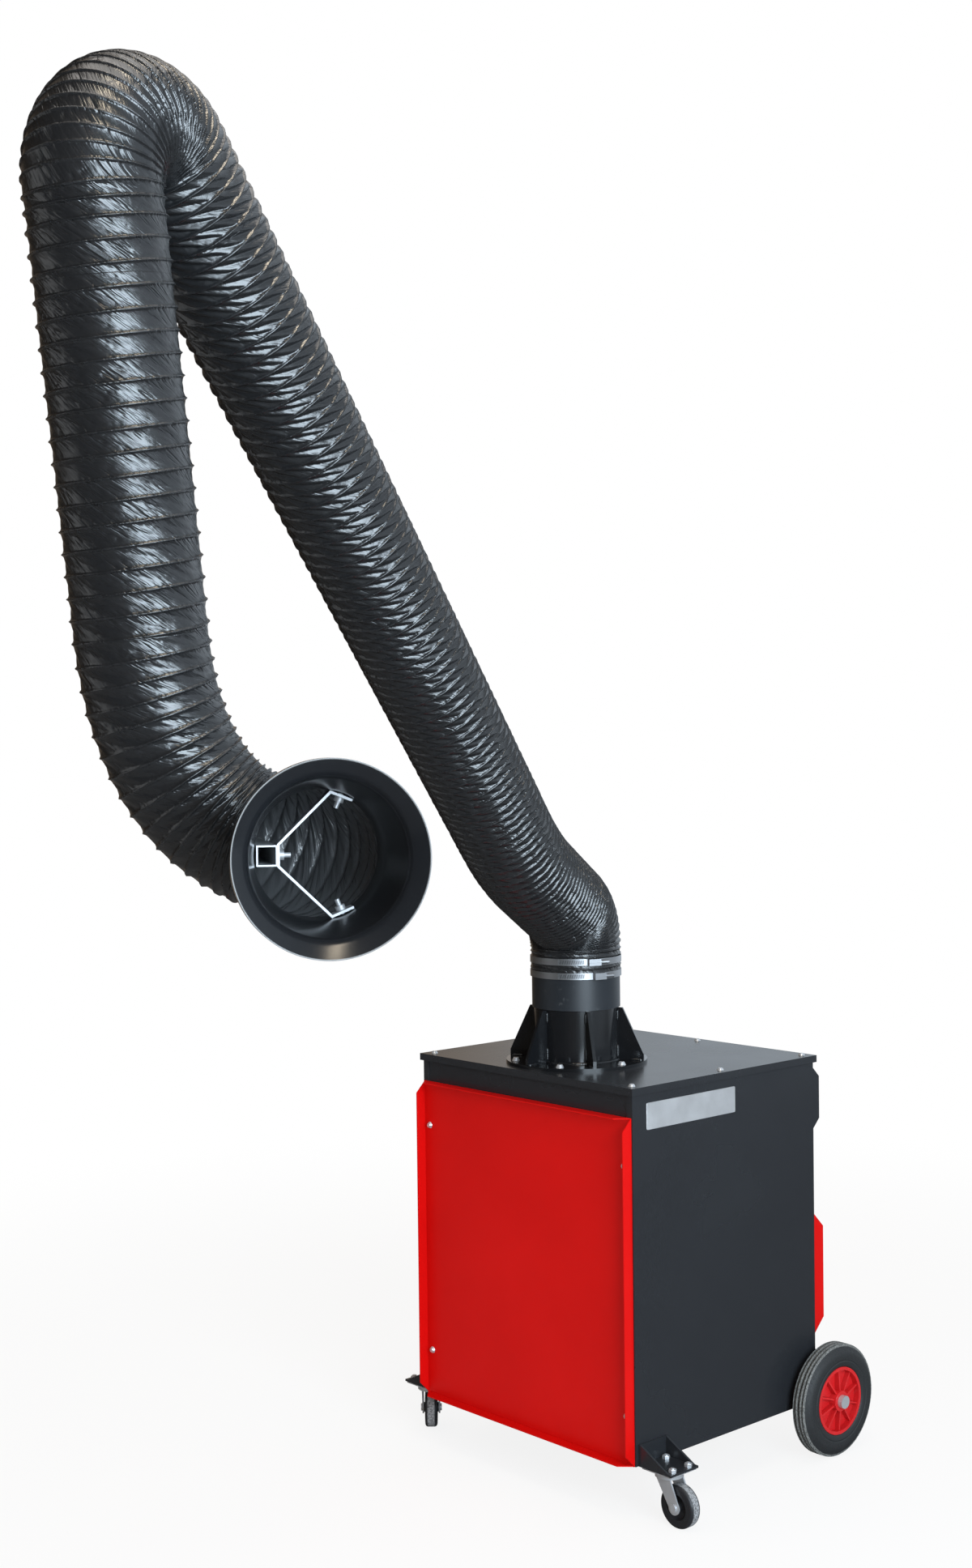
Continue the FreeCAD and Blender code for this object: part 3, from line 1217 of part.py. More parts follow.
def knuckle_parts():
    """The turning spindle and crank that carry the hood's tilt pivot."""
    face = half_tube + s.disc_thick + 2 * s.run_gap
    crank_point = walk(hang_end, hang_heading, run=number(s.crank_drop))[0]
    crank_local = hood_frame.inverse().multVec(arm_frame.multVec(in_plane(crank_point)))
    from_end = s.crank_drop - s.tube_end_run
    block = cylinder(s.knuckle_radius, from_end + s.knuckle_tail - s.fit_gap, s.fit_gap, along="x")
    spindle = cylinder(s.spindle_radius, s.bush_length + s.fit_gap + s.weld_depth, -s.bush_length, along="x")
    spindle_head = cylinder(s.spindle_radius + s.tube_wall / 2, s.disc_thick, -s.bush_length - s.disc_thick - s.fit_gap,
                            along="x")
    neck = cylinder(s.spindle_radius, 2 * s.fit_gap, -s.bush_length - s.fit_gap * 2, along="x")
    upright = fuse(block, spindle, neck, spindle_head)
    upright.Placement = plane_spot(upper_end, hang_heading)
    reach = tilt_local - crank_local
    crank_length = math.hypot(reach.x, reach.y) - number(face + s.pivot_plate / 2)
    side = s.crank_side
    sweep = math.degrees(math.atan2(reach.y, reach.x))
    bar = box(as_size(crank_length), side, side, ZERO, -side / 2, -side / 2)
    carry(bar, hood_frame.multiply(Placement(crank_local, Rotation(Z_AXIS, sweep))))
    plate = fuse(cylinder(s.disc_radius, s.pivot_plate, y=-face - s.pivot_plate, along="y"),
                 box(2 * s.disc_radius, s.pivot_plate, side / 2 - as_size(reach.z), -s.disc_radius,
                     -face - s.pivot_plate))
    plate.Placement = Placement(tilt_world, hood_frame.Rotation)
    hole = cylinder(pivot_hole, s.pivot_plate + 2 * s.cut_over, y=-face - s.pivot_plate - s.cut_over, along="y")
    carry(hole, Placement(tilt_world, hood_frame.Rotation))
    node("knuckle", cut(fuse(upright, bar, plate), hole))
    shank = cylinder(s.pivot_radius, 2 * face + s.pivot_plate, y=-face - s.pivot_plate, along="y")
    ends = [cylinder(s.pivot_head, s.pivot_head_height, y=y, along="y")
            for y in (-face - s.pivot_plate - s.pivot_head_height, face)]
    disc = cylinder(s.disc_radius, s.disc_thick, y=-face + s.run_gap, along="y")
    node("tilt_bolt", fuse(shank, disc, *ends), Placement(tilt_world, hood_frame.Rotation))


def hood_parts():
    """Stub tube, strap, bolts and the spun hood, drawn with the hood axis along x."""
    node("stub_tube", square_tube(s.tube_tail, s.stub_back + s.stub_front, ZERO),
         Placement(tilt_world, hood_frame.Rotation))
    hood_shell()
    hood_strap()


neck_outer = s.hose_bore - s.neck_gap
neck_inner = neck_outer - s.hood_wall


def hood_shell():
    """The spun hood: spigot, neck, cone and rim band in one wall."""
    body = new_body()
    wall = s.hood_wall
    rim = s.hood_depth - s.hood_rim_width
    cone_out = s.hood_mouth - s.hood_rim_step
    profile = [(neck_inner, -s.hood_spigot), (neck_outer, -s.hood_spigot), (neck_outer, s.hood_neck_run),
               (cone_out, rim), (s.hood_mouth, rim), (s.hood_mouth, s.hood_depth),
               (s.hood_mouth - wall - s.hood_rim_step, s.hood_depth), (cone_out - wall, rim),
               (neck_inner, s.hood_neck_run)]
    revolve(body, profile)
    turn = Placement(Vector(), Rotation(Y_AXIS, QUARTER_TURN))
    shell = body
    shell.Placement = turn
    drills = []
    for side in (1, -1):
        drills.append(carry(cylinder(s.strap_bolt + s.fit_gap, s.hose_bore, along="y"), strap_ray(side)))
    node("hood", cut(shell, *drills), hood_frame)


def strap_ray(side):
    """A placement on the hood axis whose +y points at an end tab of the strap."""
    return Placement(Vector(number(s.strap_centre), 0, 0), Rotation(X_AXIS, side * number(s.strap_angle)))


def hood_strap():
    """A strip bent to three flats: centre on the stub tube, end tabs on the neck wall."""
    thick = number(s.strap_thick)
    half_tab = number(s.strap_tab) / 2
    seat = math.sqrt(number(neck_inner) ** 2 - half_tab ** 2) - number(s.fit_gap)
    face = number(half_tube - s.stub_offset)
    flat = number(s.strap_flat) / 2
    tilt = math.radians(number(s.strap_angle))
    outward = (math.cos(tilt), math.sin(tilt))
    along = (math.sin(tilt), -math.cos(tilt))
    middle = (outward[0] * (seat - thick / 2), outward[1] * (seat - thick / 2))
    tab_near = (middle[0] - along[0] * half_tab, middle[1] - along[1] * half_tab)
    tab_far = (middle[0] + along[0] * half_tab, middle[1] + along[1] * half_tab)
    centre = face + thick / 2
    strip = [tab_far, tab_near, (centre, flat), (centre, -flat), (tab_near[0], -tab_near[1]), (tab_far[0], -tab_far[1])]
    walls = offset_strip(strip, thick / 2) + offset_strip(strip, -thick / 2)[::-1]
    body = new_body()
    pad(body, outline(body, "YZ_Plane", walls), s.strap_width)
    body.Placement = Placement(Vector(number(s.strap_centre - s.strap_width / 2), 0, 0), Rotation())
    drills = []
    for side in (1, -1):
        drill = cylinder(s.strap_bolt + s.fit_gap, s.hose_bore, y=s.hose_bore / 2, along="y")
        drills.append(carry(drill, strap_ray(side)))
    cross = cylinder(s.strap_bolt + s.fit_gap, s.strap_thick + 2 * s.cut_over, s.strap_centre,
                     half_tube - s.stub_offset - s.cut_over, along="y")
    node("hood_strap", cut(body, *drills, cross), hood_frame)
    bolts = []
    reach = as_size(seat) - s.strap_thick
    for side in (1, -1):
        shank = cylinder(s.strap_bolt, neck_outer + s.fit_gap + s.strap_nut_height + s.strap_bolt_stick - reach,
                         y=reach - s.strap_nut_height - s.strap_bolt_stick, along="y")
        nut = cylinder(s.strap_nut, s.strap_nut_height, y=reach - s.strap_nut_height, along="y")
        head = cylinder(s.strap_nut, s.strap_nut_height / 2, y=neck_outer + s.fit_gap, along="y")
        bolt = fuse(shank, nut, head)
        bolt.Placement = strap_ray(side)
        bolts.append(bolt)
    right = half_tube - s.stub_offset + s.strap_thick
    cross_nut = cylinder(s.strap_nut, s.strap_nut_height, s.strap_centre, right, along="y")
    cross_end = cylinder(s.strap_bolt, s.strap_thick + s.strap_nut_height + s.strap_bolt_stick, s.strap_centre,
                         right - s.strap_thick, along="y")
    bolts.append(fuse(cross_nut, cross_end))
    node("strap_bolts", group(*bolts), hood_frame)


def offset_strip(points, distance):
    """Shift a bent line sideways, with mitred corners."""
    shifted = []
    last = len(points) - 1
    for index, point in enumerate(points):
        normals = []
        for first, second in ((index - 1, index), (index, index + 1)):
            if first < 0 or second > last:
                continue
            dx, dy = points[second][0] - points[first][0], points[second][1] - points[first][1]
            length = math.hypot(dx, dy)
            normals.append((-dy / length, dx / length))
        nx = sum(normal[0] for normal in normals)
        ny = sum(normal[1] for normal in normals)
        size = math.hypot(nx, ny)
        nx, ny = nx / size, ny / size
        scale = distance / (nx * normals[0][0] + ny * normals[0][1])
        shifted.append((point[0] + nx * scale, point[1] + ny * scale))
    return shifted


def wrist_curve():
    """Points and headings of the hose from the hanging leg to the hood: a cubic curve, then a straight cuff."""
    ahead = hood_frame.Rotation.multVec(X_AXIS)
    start = arm_frame.multVec(in_plane(hang_end))
    angle = math.radians(hang_heading)
    down = arm_frame.Rotation.multVec(Vector(math.cos(angle), 0, math.sin(angle)))
    end = neck_world - ahead * number(s.hood_spigot)
    control = (start, start + down * number(s.wrist_pull), end - ahead * number(s.wrist_push), end)

    def curve(t):
        point = Vector()
        slope = Vector()
        for k, share in enumerate((1, 3, 3, 1)):
            point += control[k] * (share * (1 - t) ** (3 - k) * t ** k)
        for k, share in enumerate((3, 6, 3)):
            slope += (control[k + 1] - control[k]) * (share * (1 - t) ** (2 - k) * t ** k)
        return point, slope.normalize()
    return curve, end, ahead


def hose_circle(point, heading, side, radius):
    """A circle across the hose whose start point always lies on the same side."""
    heading = Vector(heading).normalize()
    across = (side - heading * side.dot(heading)).normalize()
    third = heading.cross(across)
    frame = Matrix(across.x, third.x, heading.x, point.x, across.y, third.y, heading.y, point.y,
                   across.z, third.z, heading.z, point.z, 0, 0, 0, 1)
    edge = Part.makeCircle(radius)
    edge.transformShape(frame)
    return Part.Wire([edge])


def rib_stations(length, pitch, lead=0.0):
    """Distances and outer radii along a stretch: each rib is four circles on the plain wall."""
    wall = number(s.hose_bore + s.hose_wall)
    crest = wall + number(s.rib_height)
    foot, top = number(s.rib_width) / 2, number(s.rib_crest) / 2
    count = max(1, round((length - lead) / pitch))
    step = (length - lead) / count
    marks = [(0.0, wall)]
    for k in range(count):
        middle = lead + step * (k + 0.5)
        marks += [(middle - foot, wall), (middle - top, crest), (middle + top, crest), (middle + foot, wall)]
    return marks + [(length, wall)]


def hose_solid(frames, bore_frames):
    """A closed hose wall from outer and bore circles, each a (point, heading, side, radius)."""
    outer = [hose_circle(*frame) for frame in frames]
    inner = [hose_circle(*frame) for frame in bore_frames]
    faces = Part.makeLoft(outer, False, True).Faces + Part.makeLoft(inner, False, True).Faces
    for rim, hole in ((outer[0], inner[0]), (outer[-1], inner[-1])):
        disc, bore = Part.Face(rim), Part.Face(hole)
        faces.append(disc.cut(bore).Faces[0])
    shell = Part.Shell(Part.makeCompound(faces).Faces)
    shell.sewShape()
    solid = Part.Solid(shell)
    if solid.Volume < 0:
        solid.reverse()
    return solid


def hose_feature(name, solid):
    feature = doc.addObject("Part::Feature", name)
    feature.Shape = solid
    node(name, feature)


def plane_frames(start, marks):
    """Circles at marks along the arm-plane route."""
    side = arm_frame.Rotation.multVec(Y_AXIS)
    frames = []
    for distance, radius in marks:
        point, heading = hose_point(start + distance)
        angle = math.radians(heading)
        direction = arm_frame.Rotation.multVec(Vector(math.cos(angle), 0, math.sin(angle)))
        frames.append((arm_frame.multVec(in_plane(point)), direction, side, radius))
    return frames


def plane_hose(name, start, stop, pitch):
    """One ribbed stretch of hose in the arm plane."""
    bore = number(s.hose_bore)
    length = stop - start
    marks = rib_stations(length, pitch)
    bore_marks = [(distance, bore) for distance, radius in marks[::2]]
    if bore_marks[-1][0] < length:
        bore_marks.append((length, bore))
    hose_feature(name, hose_solid(plane_frames(start, marks), plane_frames(start, bore_marks)))


def shoulder_hose(stop):
    """The soft stretch on the collar: plain cuff under the clamps, then ribs round the bend."""
    cuff_in = number(s.pipe_radius + s.fit_gap + s.collar_wall + s.run_gap)
    cuff_out = cuff_in + number(s.cuff_wall)
    bore = number(s.hose_bore)
    marks = rib_stations(stop, number(s.rib_pitch_tight), number(s.hose_start) / 2)[1:]
    upright = arm_frame.Rotation.multVec(Z_AXIS)
    side = arm_frame.Rotation.multVec(Y_AXIS)
    base = Vector(0, number(pipe_y), collar_top_z)

    def ring_at(drop, radius):
        return (base - upright * drop, upright, side, radius)
    step = number(s.fit_gap)
    outer = [ring_at(number(s.cuff_length), cuff_out), ring_at(0, cuff_out)] + plane_frames(0.0, marks)
    bores = [ring_at(number(s.cuff_length), cuff_in), ring_at(-step, cuff_in), ring_at(-2 * step, bore)]
    bores += plane_frames(0.0, [(distance, bore) for distance, radius in marks[1::2]])
    last = marks[-1][0]
    if (len(marks) - 1) % 2 == 0:
        bores += plane_frames(0.0, [(last, bore)])
    hose_feature("hose_shoulder", hose_solid(outer, bores))


def wrist_hose():
    """The soft stretch from the hanging leg to the hood's neck."""
    curve, end, ahead = wrist_curve()
    steps = 400
    table = [0.0]
    for k in range(steps):
        table.append(table[-1] + (curve((k + 1) / steps)[0] - curve(k / steps)[0]).Length)
    cuff = number(s.hood_spigot)
    total = table[-1] + cuff
    side = arm_frame.Rotation.multVec(Y_AXIS)

    def frame_at(distance, radius):
        if distance >= table[-1]:
            return end + ahead * (distance - table[-1]), ahead, radius
        k = max(index for index in range(steps) if table[index] <= distance)
        t = (k + (distance - table[k]) / (table[k + 1] - table[k])) / steps
        point, heading = curve(t)
        return point, heading, radius

    def frames(marks):
        found = []
        across = side
        for distance, radius in marks:
            point, heading, radius = frame_at(distance, radius)
            across = (across - heading * across.dot(heading)).normalize()
            found.append((point, heading, across, radius))
        return found
    marks = rib_stations(total, number(s.rib_pitch_tight))
    bore = number(s.hose_bore)
    bores = [(distance, bore) for distance, radius in marks]
    hose_feature("hose_wrist", hose_solid(frames(marks), frames(bores)))
    points = [curve(k / steps) for k in range(steps + 1)]
    radii = []
    for k in range(steps):
        turn = points[k][1].getAngle(points[k + 1][1])
        radii.append((table[k + 1] - table[k]) / max(turn, 1 / steps ** 2))
    print("least bend radius of the wrist hose", round(min(radii), 1), "length", round(total, 1))


def hoses():
    soft = number(s.elbow_reach)
    leg_start = stations["lift"][0]
    elbow_from = stations["elbow"][0] - soft
    elbow_to = stations["hang"][0] + soft
    shoulder_hose(leg_start)
    plane_hose("hose_lower_leg", leg_start, elbow_from, number(s.rib_pitch))
    plane_hose("hose_elbow", elbow_from, elbow_to, number(s.rib_pitch_tight))
    plane_hose("hose_upper_leg", elbow_to, stations["end"][0], number(s.rib_pitch))
    wrist_hose()


def build_cabinet():
    side_panel("side_panel_right", 1)
    side_panel("side_panel_left", -1)
    base_pan()
    front_frame()
    rear_wall()
    top_lid()
    door_panel()
    rear_tray("rear_cover", cover_width, cover_height, s.cover_flange, cover_z, cover_spots)
    spindle = cylinder(s.knob_spindle + s.run_gap, s.sheet_gauge + 2 * s.cut_over, s.knob_offset,
                       rear_face - s.cut_over, knob_z, along="y")
    rear_tray("control_panel", panel_width, s.panel_height, s.panel_flange, panel_z, panel_spots, spindle)
    panel_bolts()
    outlet_grille()
    cable_gland()
    switch_knob()
    pipe_flange()
    flange_bolts()
    filter_parts()
    fan_parts()


def build_running_gear():
    castor_brackets()
    castor_plates()
    for name, (side, swivel_x, turn) in castor_places().items():
        castor(name, swivel_x, turn)
    rear_axle_parts()
    rear_wheel("right", 1)
    rear_wheel("left", -1)


def build_arm():
    swivel_collar()
    shoulder_parts()
    hose_clamps()
    lower_arm_parts()
    upper_arm_parts()
    knuckle_parts()
    hood_parts()
    hoses()


def check_document():
    """Stop on any failed feature or bad solid."""
    for thing in doc.Objects:
        if "Invalid" in thing.State or "Error" in thing.State:
            raise RuntimeError(f"{thing.Name} {thing.Label} failed: {thing.State}")
    for name, thing in nodes.items():
        if thing.Shape.isNull() or not thing.Shape.isValid():
            raise RuntimeError(f"{name} has no valid shape")


def print_joints():
    """Joint centres and axes, for whoever assembles the piece."""
    across = arm_frame.Rotation.multVec(Y_AXIS)
    angle = math.radians(hang_heading)
    down = arm_frame.Rotation.multVec(Vector(math.cos(angle), 0, math.sin(angle)))
    for name, point, axis in (
            ("shoulder_tilt", arm_frame.multVec(in_plane(shoulder_point)), across),
            ("elbow_bend", arm_frame.multVec(in_plane(elbow_point)), across),
            ("hood_turn", arm_frame.multVec(in_plane(hang_end)), down),
            ("hood_tilt", tilt_world, hood_frame.Rotation.multVec(Y_AXIS))):
        print("joint", name, [round(v, 4) for v in point], [round(v, 6) for v in axis])


build_cabinet()
build_running_gear()
build_arm()
doc.recompute()
check_document()
os.makedirs("parts", exist_ok=True)
for name, thing in nodes.items():
    thing.Shape.exportStep(f"parts/{name}.step")
print_joints()
print(len(nodes), "pieces")
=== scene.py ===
"""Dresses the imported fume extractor: wound hose, hood, tyres, welds, nuts, finishes and studio."""

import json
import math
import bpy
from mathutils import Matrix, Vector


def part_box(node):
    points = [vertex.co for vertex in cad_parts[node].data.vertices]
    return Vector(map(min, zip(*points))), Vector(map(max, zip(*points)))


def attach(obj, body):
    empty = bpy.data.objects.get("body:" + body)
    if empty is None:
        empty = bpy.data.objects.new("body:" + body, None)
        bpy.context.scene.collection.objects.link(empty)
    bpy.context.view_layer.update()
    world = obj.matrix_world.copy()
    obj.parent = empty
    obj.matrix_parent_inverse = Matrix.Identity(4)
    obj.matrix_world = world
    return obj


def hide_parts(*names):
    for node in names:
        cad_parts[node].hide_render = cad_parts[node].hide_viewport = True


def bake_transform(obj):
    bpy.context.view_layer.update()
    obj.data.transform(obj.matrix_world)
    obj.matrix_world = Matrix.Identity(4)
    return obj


bl_info = {
    "name": "Fume extractor dressing",
    "version": (1, 0, 0),
    "blender": (4, 5, 0),
    "location": "View3D > Sidebar > Extractor",
    "description": "Builds the visible pieces and finishes of a mobile fume extractor on its frame",
    "category": "Object",
}

import bpy
import numpy as np
from bpy.props import FloatProperty, FloatVectorProperty, IntProperty, PointerProperty
from bpy.types import Operator, Panel, PropertyGroup
from mathutils import Matrix, Vector

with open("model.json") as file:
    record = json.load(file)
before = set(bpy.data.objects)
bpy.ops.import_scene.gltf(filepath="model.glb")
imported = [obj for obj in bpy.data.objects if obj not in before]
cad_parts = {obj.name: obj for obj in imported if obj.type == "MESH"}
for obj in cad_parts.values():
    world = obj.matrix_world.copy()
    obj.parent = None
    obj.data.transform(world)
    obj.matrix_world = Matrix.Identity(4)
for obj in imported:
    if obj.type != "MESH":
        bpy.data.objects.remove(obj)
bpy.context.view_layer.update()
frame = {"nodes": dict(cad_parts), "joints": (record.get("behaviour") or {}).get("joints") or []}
NODES = frame["nodes"]
TURN = 2 * math.pi


def colour_property(name, description, default):
    return FloatVectorProperty(name=name, description=description, default=default, size=3,
                               min=0.0, max=1.0, subtype="COLOR")


def length_property(name, description, default):
    return FloatProperty(name=name, description=description, default=default, min=0.0,
                         precision=4, subtype="DISTANCE", unit="LENGTH")


def angle_property(name, description, degrees):
    return FloatProperty(name=name, description=description, default=math.radians(degrees),
                         subtype="ANGLE", unit="ROTATION")


class HoseSizes(PropertyGroup):
    """Sizes of the wire-wound hose."""

    bore: length_property("Bore", "Inner radius of the hose wall", 0.0798)
    ridge: length_property("Ridge", "Outer radius over the wire", 0.0852)
    wire: length_property("Wire", "Half width of the wire's bump", 0.0015)
    proud: length_property("Proud", "Wire standing above the cloth beside it", 0.0019)
    wall: length_property("Wall", "Thickness of the coated cloth", 0.0012)
    folds: IntProperty(name="Folds", description="Slanting folds round the hose",
                       default=20, min=3, max=40)
    columns: IntProperty(name="Columns", description="Mesh columns round the hose",
                         default=192, min=32, max=256)


class CoatColours(PropertyGroup):
    """Colours of the paints, metals, cloth and rubber."""

    red: colour_property("Red coat", "Door and rear cover", (0.535, 0.0032, 0.0026))
    black: colour_property("Black coat", "Cabinet's powder coat", (0.0165, 0.0178, 0.0205))
    collar: colour_property("Collar", "Sleeve that turns on the pipe", (0.012, 0.015, 0.019))
    vinyl: colour_property("Vinyl", "Coated cloth of the hose", (0.0100, 0.0104, 0.0113))
    zinc: colour_property("Zinc", "Plated steel", (0.62, 0.63, 0.65))
    tyre: colour_property("Tyre", "Rear tyre rubber", (0.0140, 0.0145, 0.0152))
    tread: colour_property("Tread", "Dusty tread of the rear tyres", (0.125, 0.124, 0.117))
    hub: colour_property("Hub", "Moulded rear hubs", (0.52, 0.010, 0.012))
    castor: colour_property("Castor", "Castor tread", (0.23, 0.23, 0.235))


class StudioSettings(PropertyGroup):
    """Camera and floor of the studio."""

    camera: FloatVectorProperty(name="Camera", description="Place of the camera",
                                default=(2.596, -2.673, 1.354), size=3,
                                subtype="TRANSLATION", unit="LENGTH")
    yaw: angle_property("Yaw", "Turn of the camera to the left of +Y", 47.9)
    pitch: angle_property("Pitch", "Dip of the camera", 1.22)
    roll: angle_property("Roll", "Roll of the camera", -0.68)
    lens: FloatProperty(name="Lens", description="Focal length on a 36 mm frame height",
                        default=44.75, min=1.0)
    floor: colour_property("Floor", "Plain floor", (0.72, 0.72, 0.72))


# Directions of the arm plane, outwards from the swivel axis and across it, and of the hood
ARM = math.radians(23.0)
OUT = np.array([math.sin(ARM), -math.cos(ARM), 0.0])
ACROSS = np.array([math.cos(ARM), math.sin(ARM), 0.0])
UP = np.array([0.0, 0.0, 1.0])
SWIVEL = np.array([0.0, -0.106, 0.0])
HOOD = math.radians(61.0)
HOOD_AXIS = np.array([math.sin(HOOD), -math.cos(HOOD), 0.0])
HOOD_SIDE = np.array([math.cos(HOOD), math.sin(HOOD), 0.0])
NECK = SWIVEL + 1.355 * OUT + 0.223 * ACROSS + 1.224 * UP

# Hose in the arm plane, upright from the collar: runs by length, bends by radius, turn in degrees
ROUTE = (("rise", 0.008, 0.0), ("shoulder", 0.088, -64.9), ("sag", 0.156, 0.0),
         ("lift", 0.500, 16.3), ("leg", 1.352, 0.0), ("elbow", 0.088, -140.5),
         ("hang", 0.522, 0.0))
COLLAR_TOP, CUFF, ELBOW_SOFT = 0.962, 0.044, 0.100
WRIST_PULL, WRIST_PUSH, NECK_CUFF = 0.275, 0.120, 0.014
# Half the length over which the direction of the hose is taken
HALF_STEP = 0.0006


def running_sum(values):
    """Sum of the values up to each place, from zero."""
    return np.concatenate([[0.0], np.cumsum(values)])


class HosePath:
    """Centre line of the hose by distance from the collar's top.

    The headings of the runs and bends are added up, then a cubic curve leads to the hood.
    """

    def __init__(self):
        knots = running_sum([size * math.radians(abs(turn)) if turn else size
                             for name, size, turn in ROUTE])
        headings = np.radians(90.0 + running_sum([turn for name, size, turn in ROUTE]))
        self.marks = {name: knot for (name, size, turn), knot in zip(ROUTE, knots)}
        self.hang_end = knots[-1]
        self.steps = np.linspace(0.0, self.hang_end, 12001)
        heading = np.interp(self.steps, knots, headings)
        self.bend = -np.gradient(heading, self.steps)
        middle, gap = 0.5 * (heading[1:] + heading[:-1]), self.steps[1] - self.steps[0]
        out, rise = running_sum(np.cos(middle) * gap), running_sum(np.sin(middle) * gap)
        plane = SWIVEL + out[:, None] * OUT + (COLLAR_TOP + rise)[:, None] * UP
        down = math.cos(headings[-1]) * OUT + math.sin(headings[-1]) * UP
        start, end = plane[-1], NECK - NECK_CUFF * HOOD_AXIS
        pull, push = start + down * WRIST_PULL, end - HOOD_AXIS * WRIST_PUSH
        t = np.linspace(0.0, 1.0, 3001)[:, None]
        wrist = ((1 - t) ** 3 * start + 3 * (1 - t) ** 2 * t * pull + 3 * (1 - t) * t ** 2 * push
                 + t ** 3 * end)
        reach = self.hang_end + running_sum(np.linalg.norm(np.diff(wrist, axis=0), axis=1))
        self.end = reach[-1] + NECK_CUFF
        foot = SWIVEL + (COLLAR_TOP - CUFF) * UP
        self.distance = np.concatenate([[-CUFF], self.steps, reach[1:], [self.end]])
        self.points = np.vstack([foot, plane, wrist[1:], NECK])

    def at(self, distance):
        """Points at the given distances."""
        return np.stack([np.interp(distance, self.distance, self.points[:, k]) for k in range(3)],
                        axis=-1)

    def curve(self, distance):
        """Bend of the hose in the arm plane, one over its radius."""
        return np.interp(distance, self.steps, self.bend, left=0.0, right=0.0)


PATH = HosePath()
LEG, ELBOW, HANG = PATH.marks["lift"], PATH.marks["elbow"], PATH.marks["hang"]
HANG_END = PATH.hang_end

# Winding by distance: wire spacing, fold depth, crumple height and slack; tight at the collar, in
# the elbow and at the hood. Slack cloth folds in slanting facets, taut cloth only hollows.
MARKS, PITCH, DEPTH, CRUMPLE, SLACK = np.array([
    (-CUFF, 0.0100, 0.0004, 0.0002, 0.30),
    (0.00, 0.0100, 0.0024, 0.0003, 0.70),
    (0.10, 0.0115, 0.0032, 0.0003, 0.85),
    (0.30, 0.0150, 0.0040, 0.0003, 0.85),
    (0.60, 0.0185, 0.0050, 0.0003, 0.90),
    (1.00, 0.0215, 0.0060, 0.0003, 0.95),
    (1.40, 0.0250, 0.0068, 0.0002, 1.00),
    (ELBOW - 0.05, 0.0245, 0.0068, 0.0002, 1.00),
    (ELBOW + 0.02, 0.0110, 0.0032, 0.0002, 0.85),
    (HANG - 0.02, 0.0110, 0.0030, 0.0002, 0.75),
    (HANG + 0.05, 0.0268, 0.0028, 0.0003, 0.42),
    (HANG_END, 0.0270, 0.0030, 0.0004, 0.45),
    (HANG_END + 0.15, 0.0215, 0.0040, 0.0005, 0.80),
    (PATH.end - 0.10, 0.0130, 0.0036, 0.0005, 0.80),
    (PATH.end, 0.0105, 0.0012, 0.0003, 0.40),
]).T
# Least share of a fold in one facet, folds that a crease crosses per metre, its stray in folds
FACET_TIP, FOLD_SLANT, FOLD_STRAY = 0.14, 100.0, 0.24
# Radians per metre that small crumples and creases turn round the hose
CREASE_TWIST = 16.0
# A bend adds slack on its inside, and on its outside takes slack and depth away
SLACK_GAIN, SLACK_LOSS, DEPTH_LOSS, LEAST_STRETCH = 0.60, 0.40, 0.70, 0.08
# Wire half widths over which crumples fade, room over the ridge and under the folds, cuff's bore
WIRE_COVER, SPARE, SLEEVE = 2.2, 0.0004, 0.08262


def turns_at(distance):
    """Turns of the wire up to a distance: one over the spacing, added up along the hose."""
    steps = np.linspace(MARKS[0], MARKS[-1], 8001)
    rate = 1.0 / np.interp(steps, MARKS, PITCH)
    total = running_sum(0.5 * (rate[1:] + rate[:-1]) * np.diff(steps))
    return np.interp(distance, steps, total)


def smooth(share):
    """Smoothstep: three squares less two cubes."""
    return share * share * (3 - 2 * share)


def cloth_noise(angle, distance, cells, length, seed):
    """Smooth random field from -1 to 1, closed round the hose: a lattice blended by smoothstep."""
    rng = np.random.default_rng(seed)
    rows = int(math.ceil((PATH.end + CUFF) / length)) + 3
    lattice = rng.uniform(-1.0, 1.0, (rows, cells))
    x = angle / TURN * cells
    y = (distance + CUFF) / length
    i, j = np.floor(x).astype(int), np.floor(y).astype(int)
    fx, fy = smooth(x - i), smooth(y - j)
    i0, i1 = i % cells, (i + 1) % cells
    low = lattice[j, i0] * (1 - fx) + lattice[j, i1] * fx
    high = lattice[j + 1, i0] * (1 - fx) + lattice[j + 1, i1] * fx
    return low * (1 - fy) + high * fy


def facet(turn, share):
    """Depth of a fold: 1 in its crease, 0 on its ridge, which stands at the given share of it."""
    turn = turn - np.floor(turn)
    return np.where(turn < share, 1 - turn / share, (turn - share) / (1 - share))


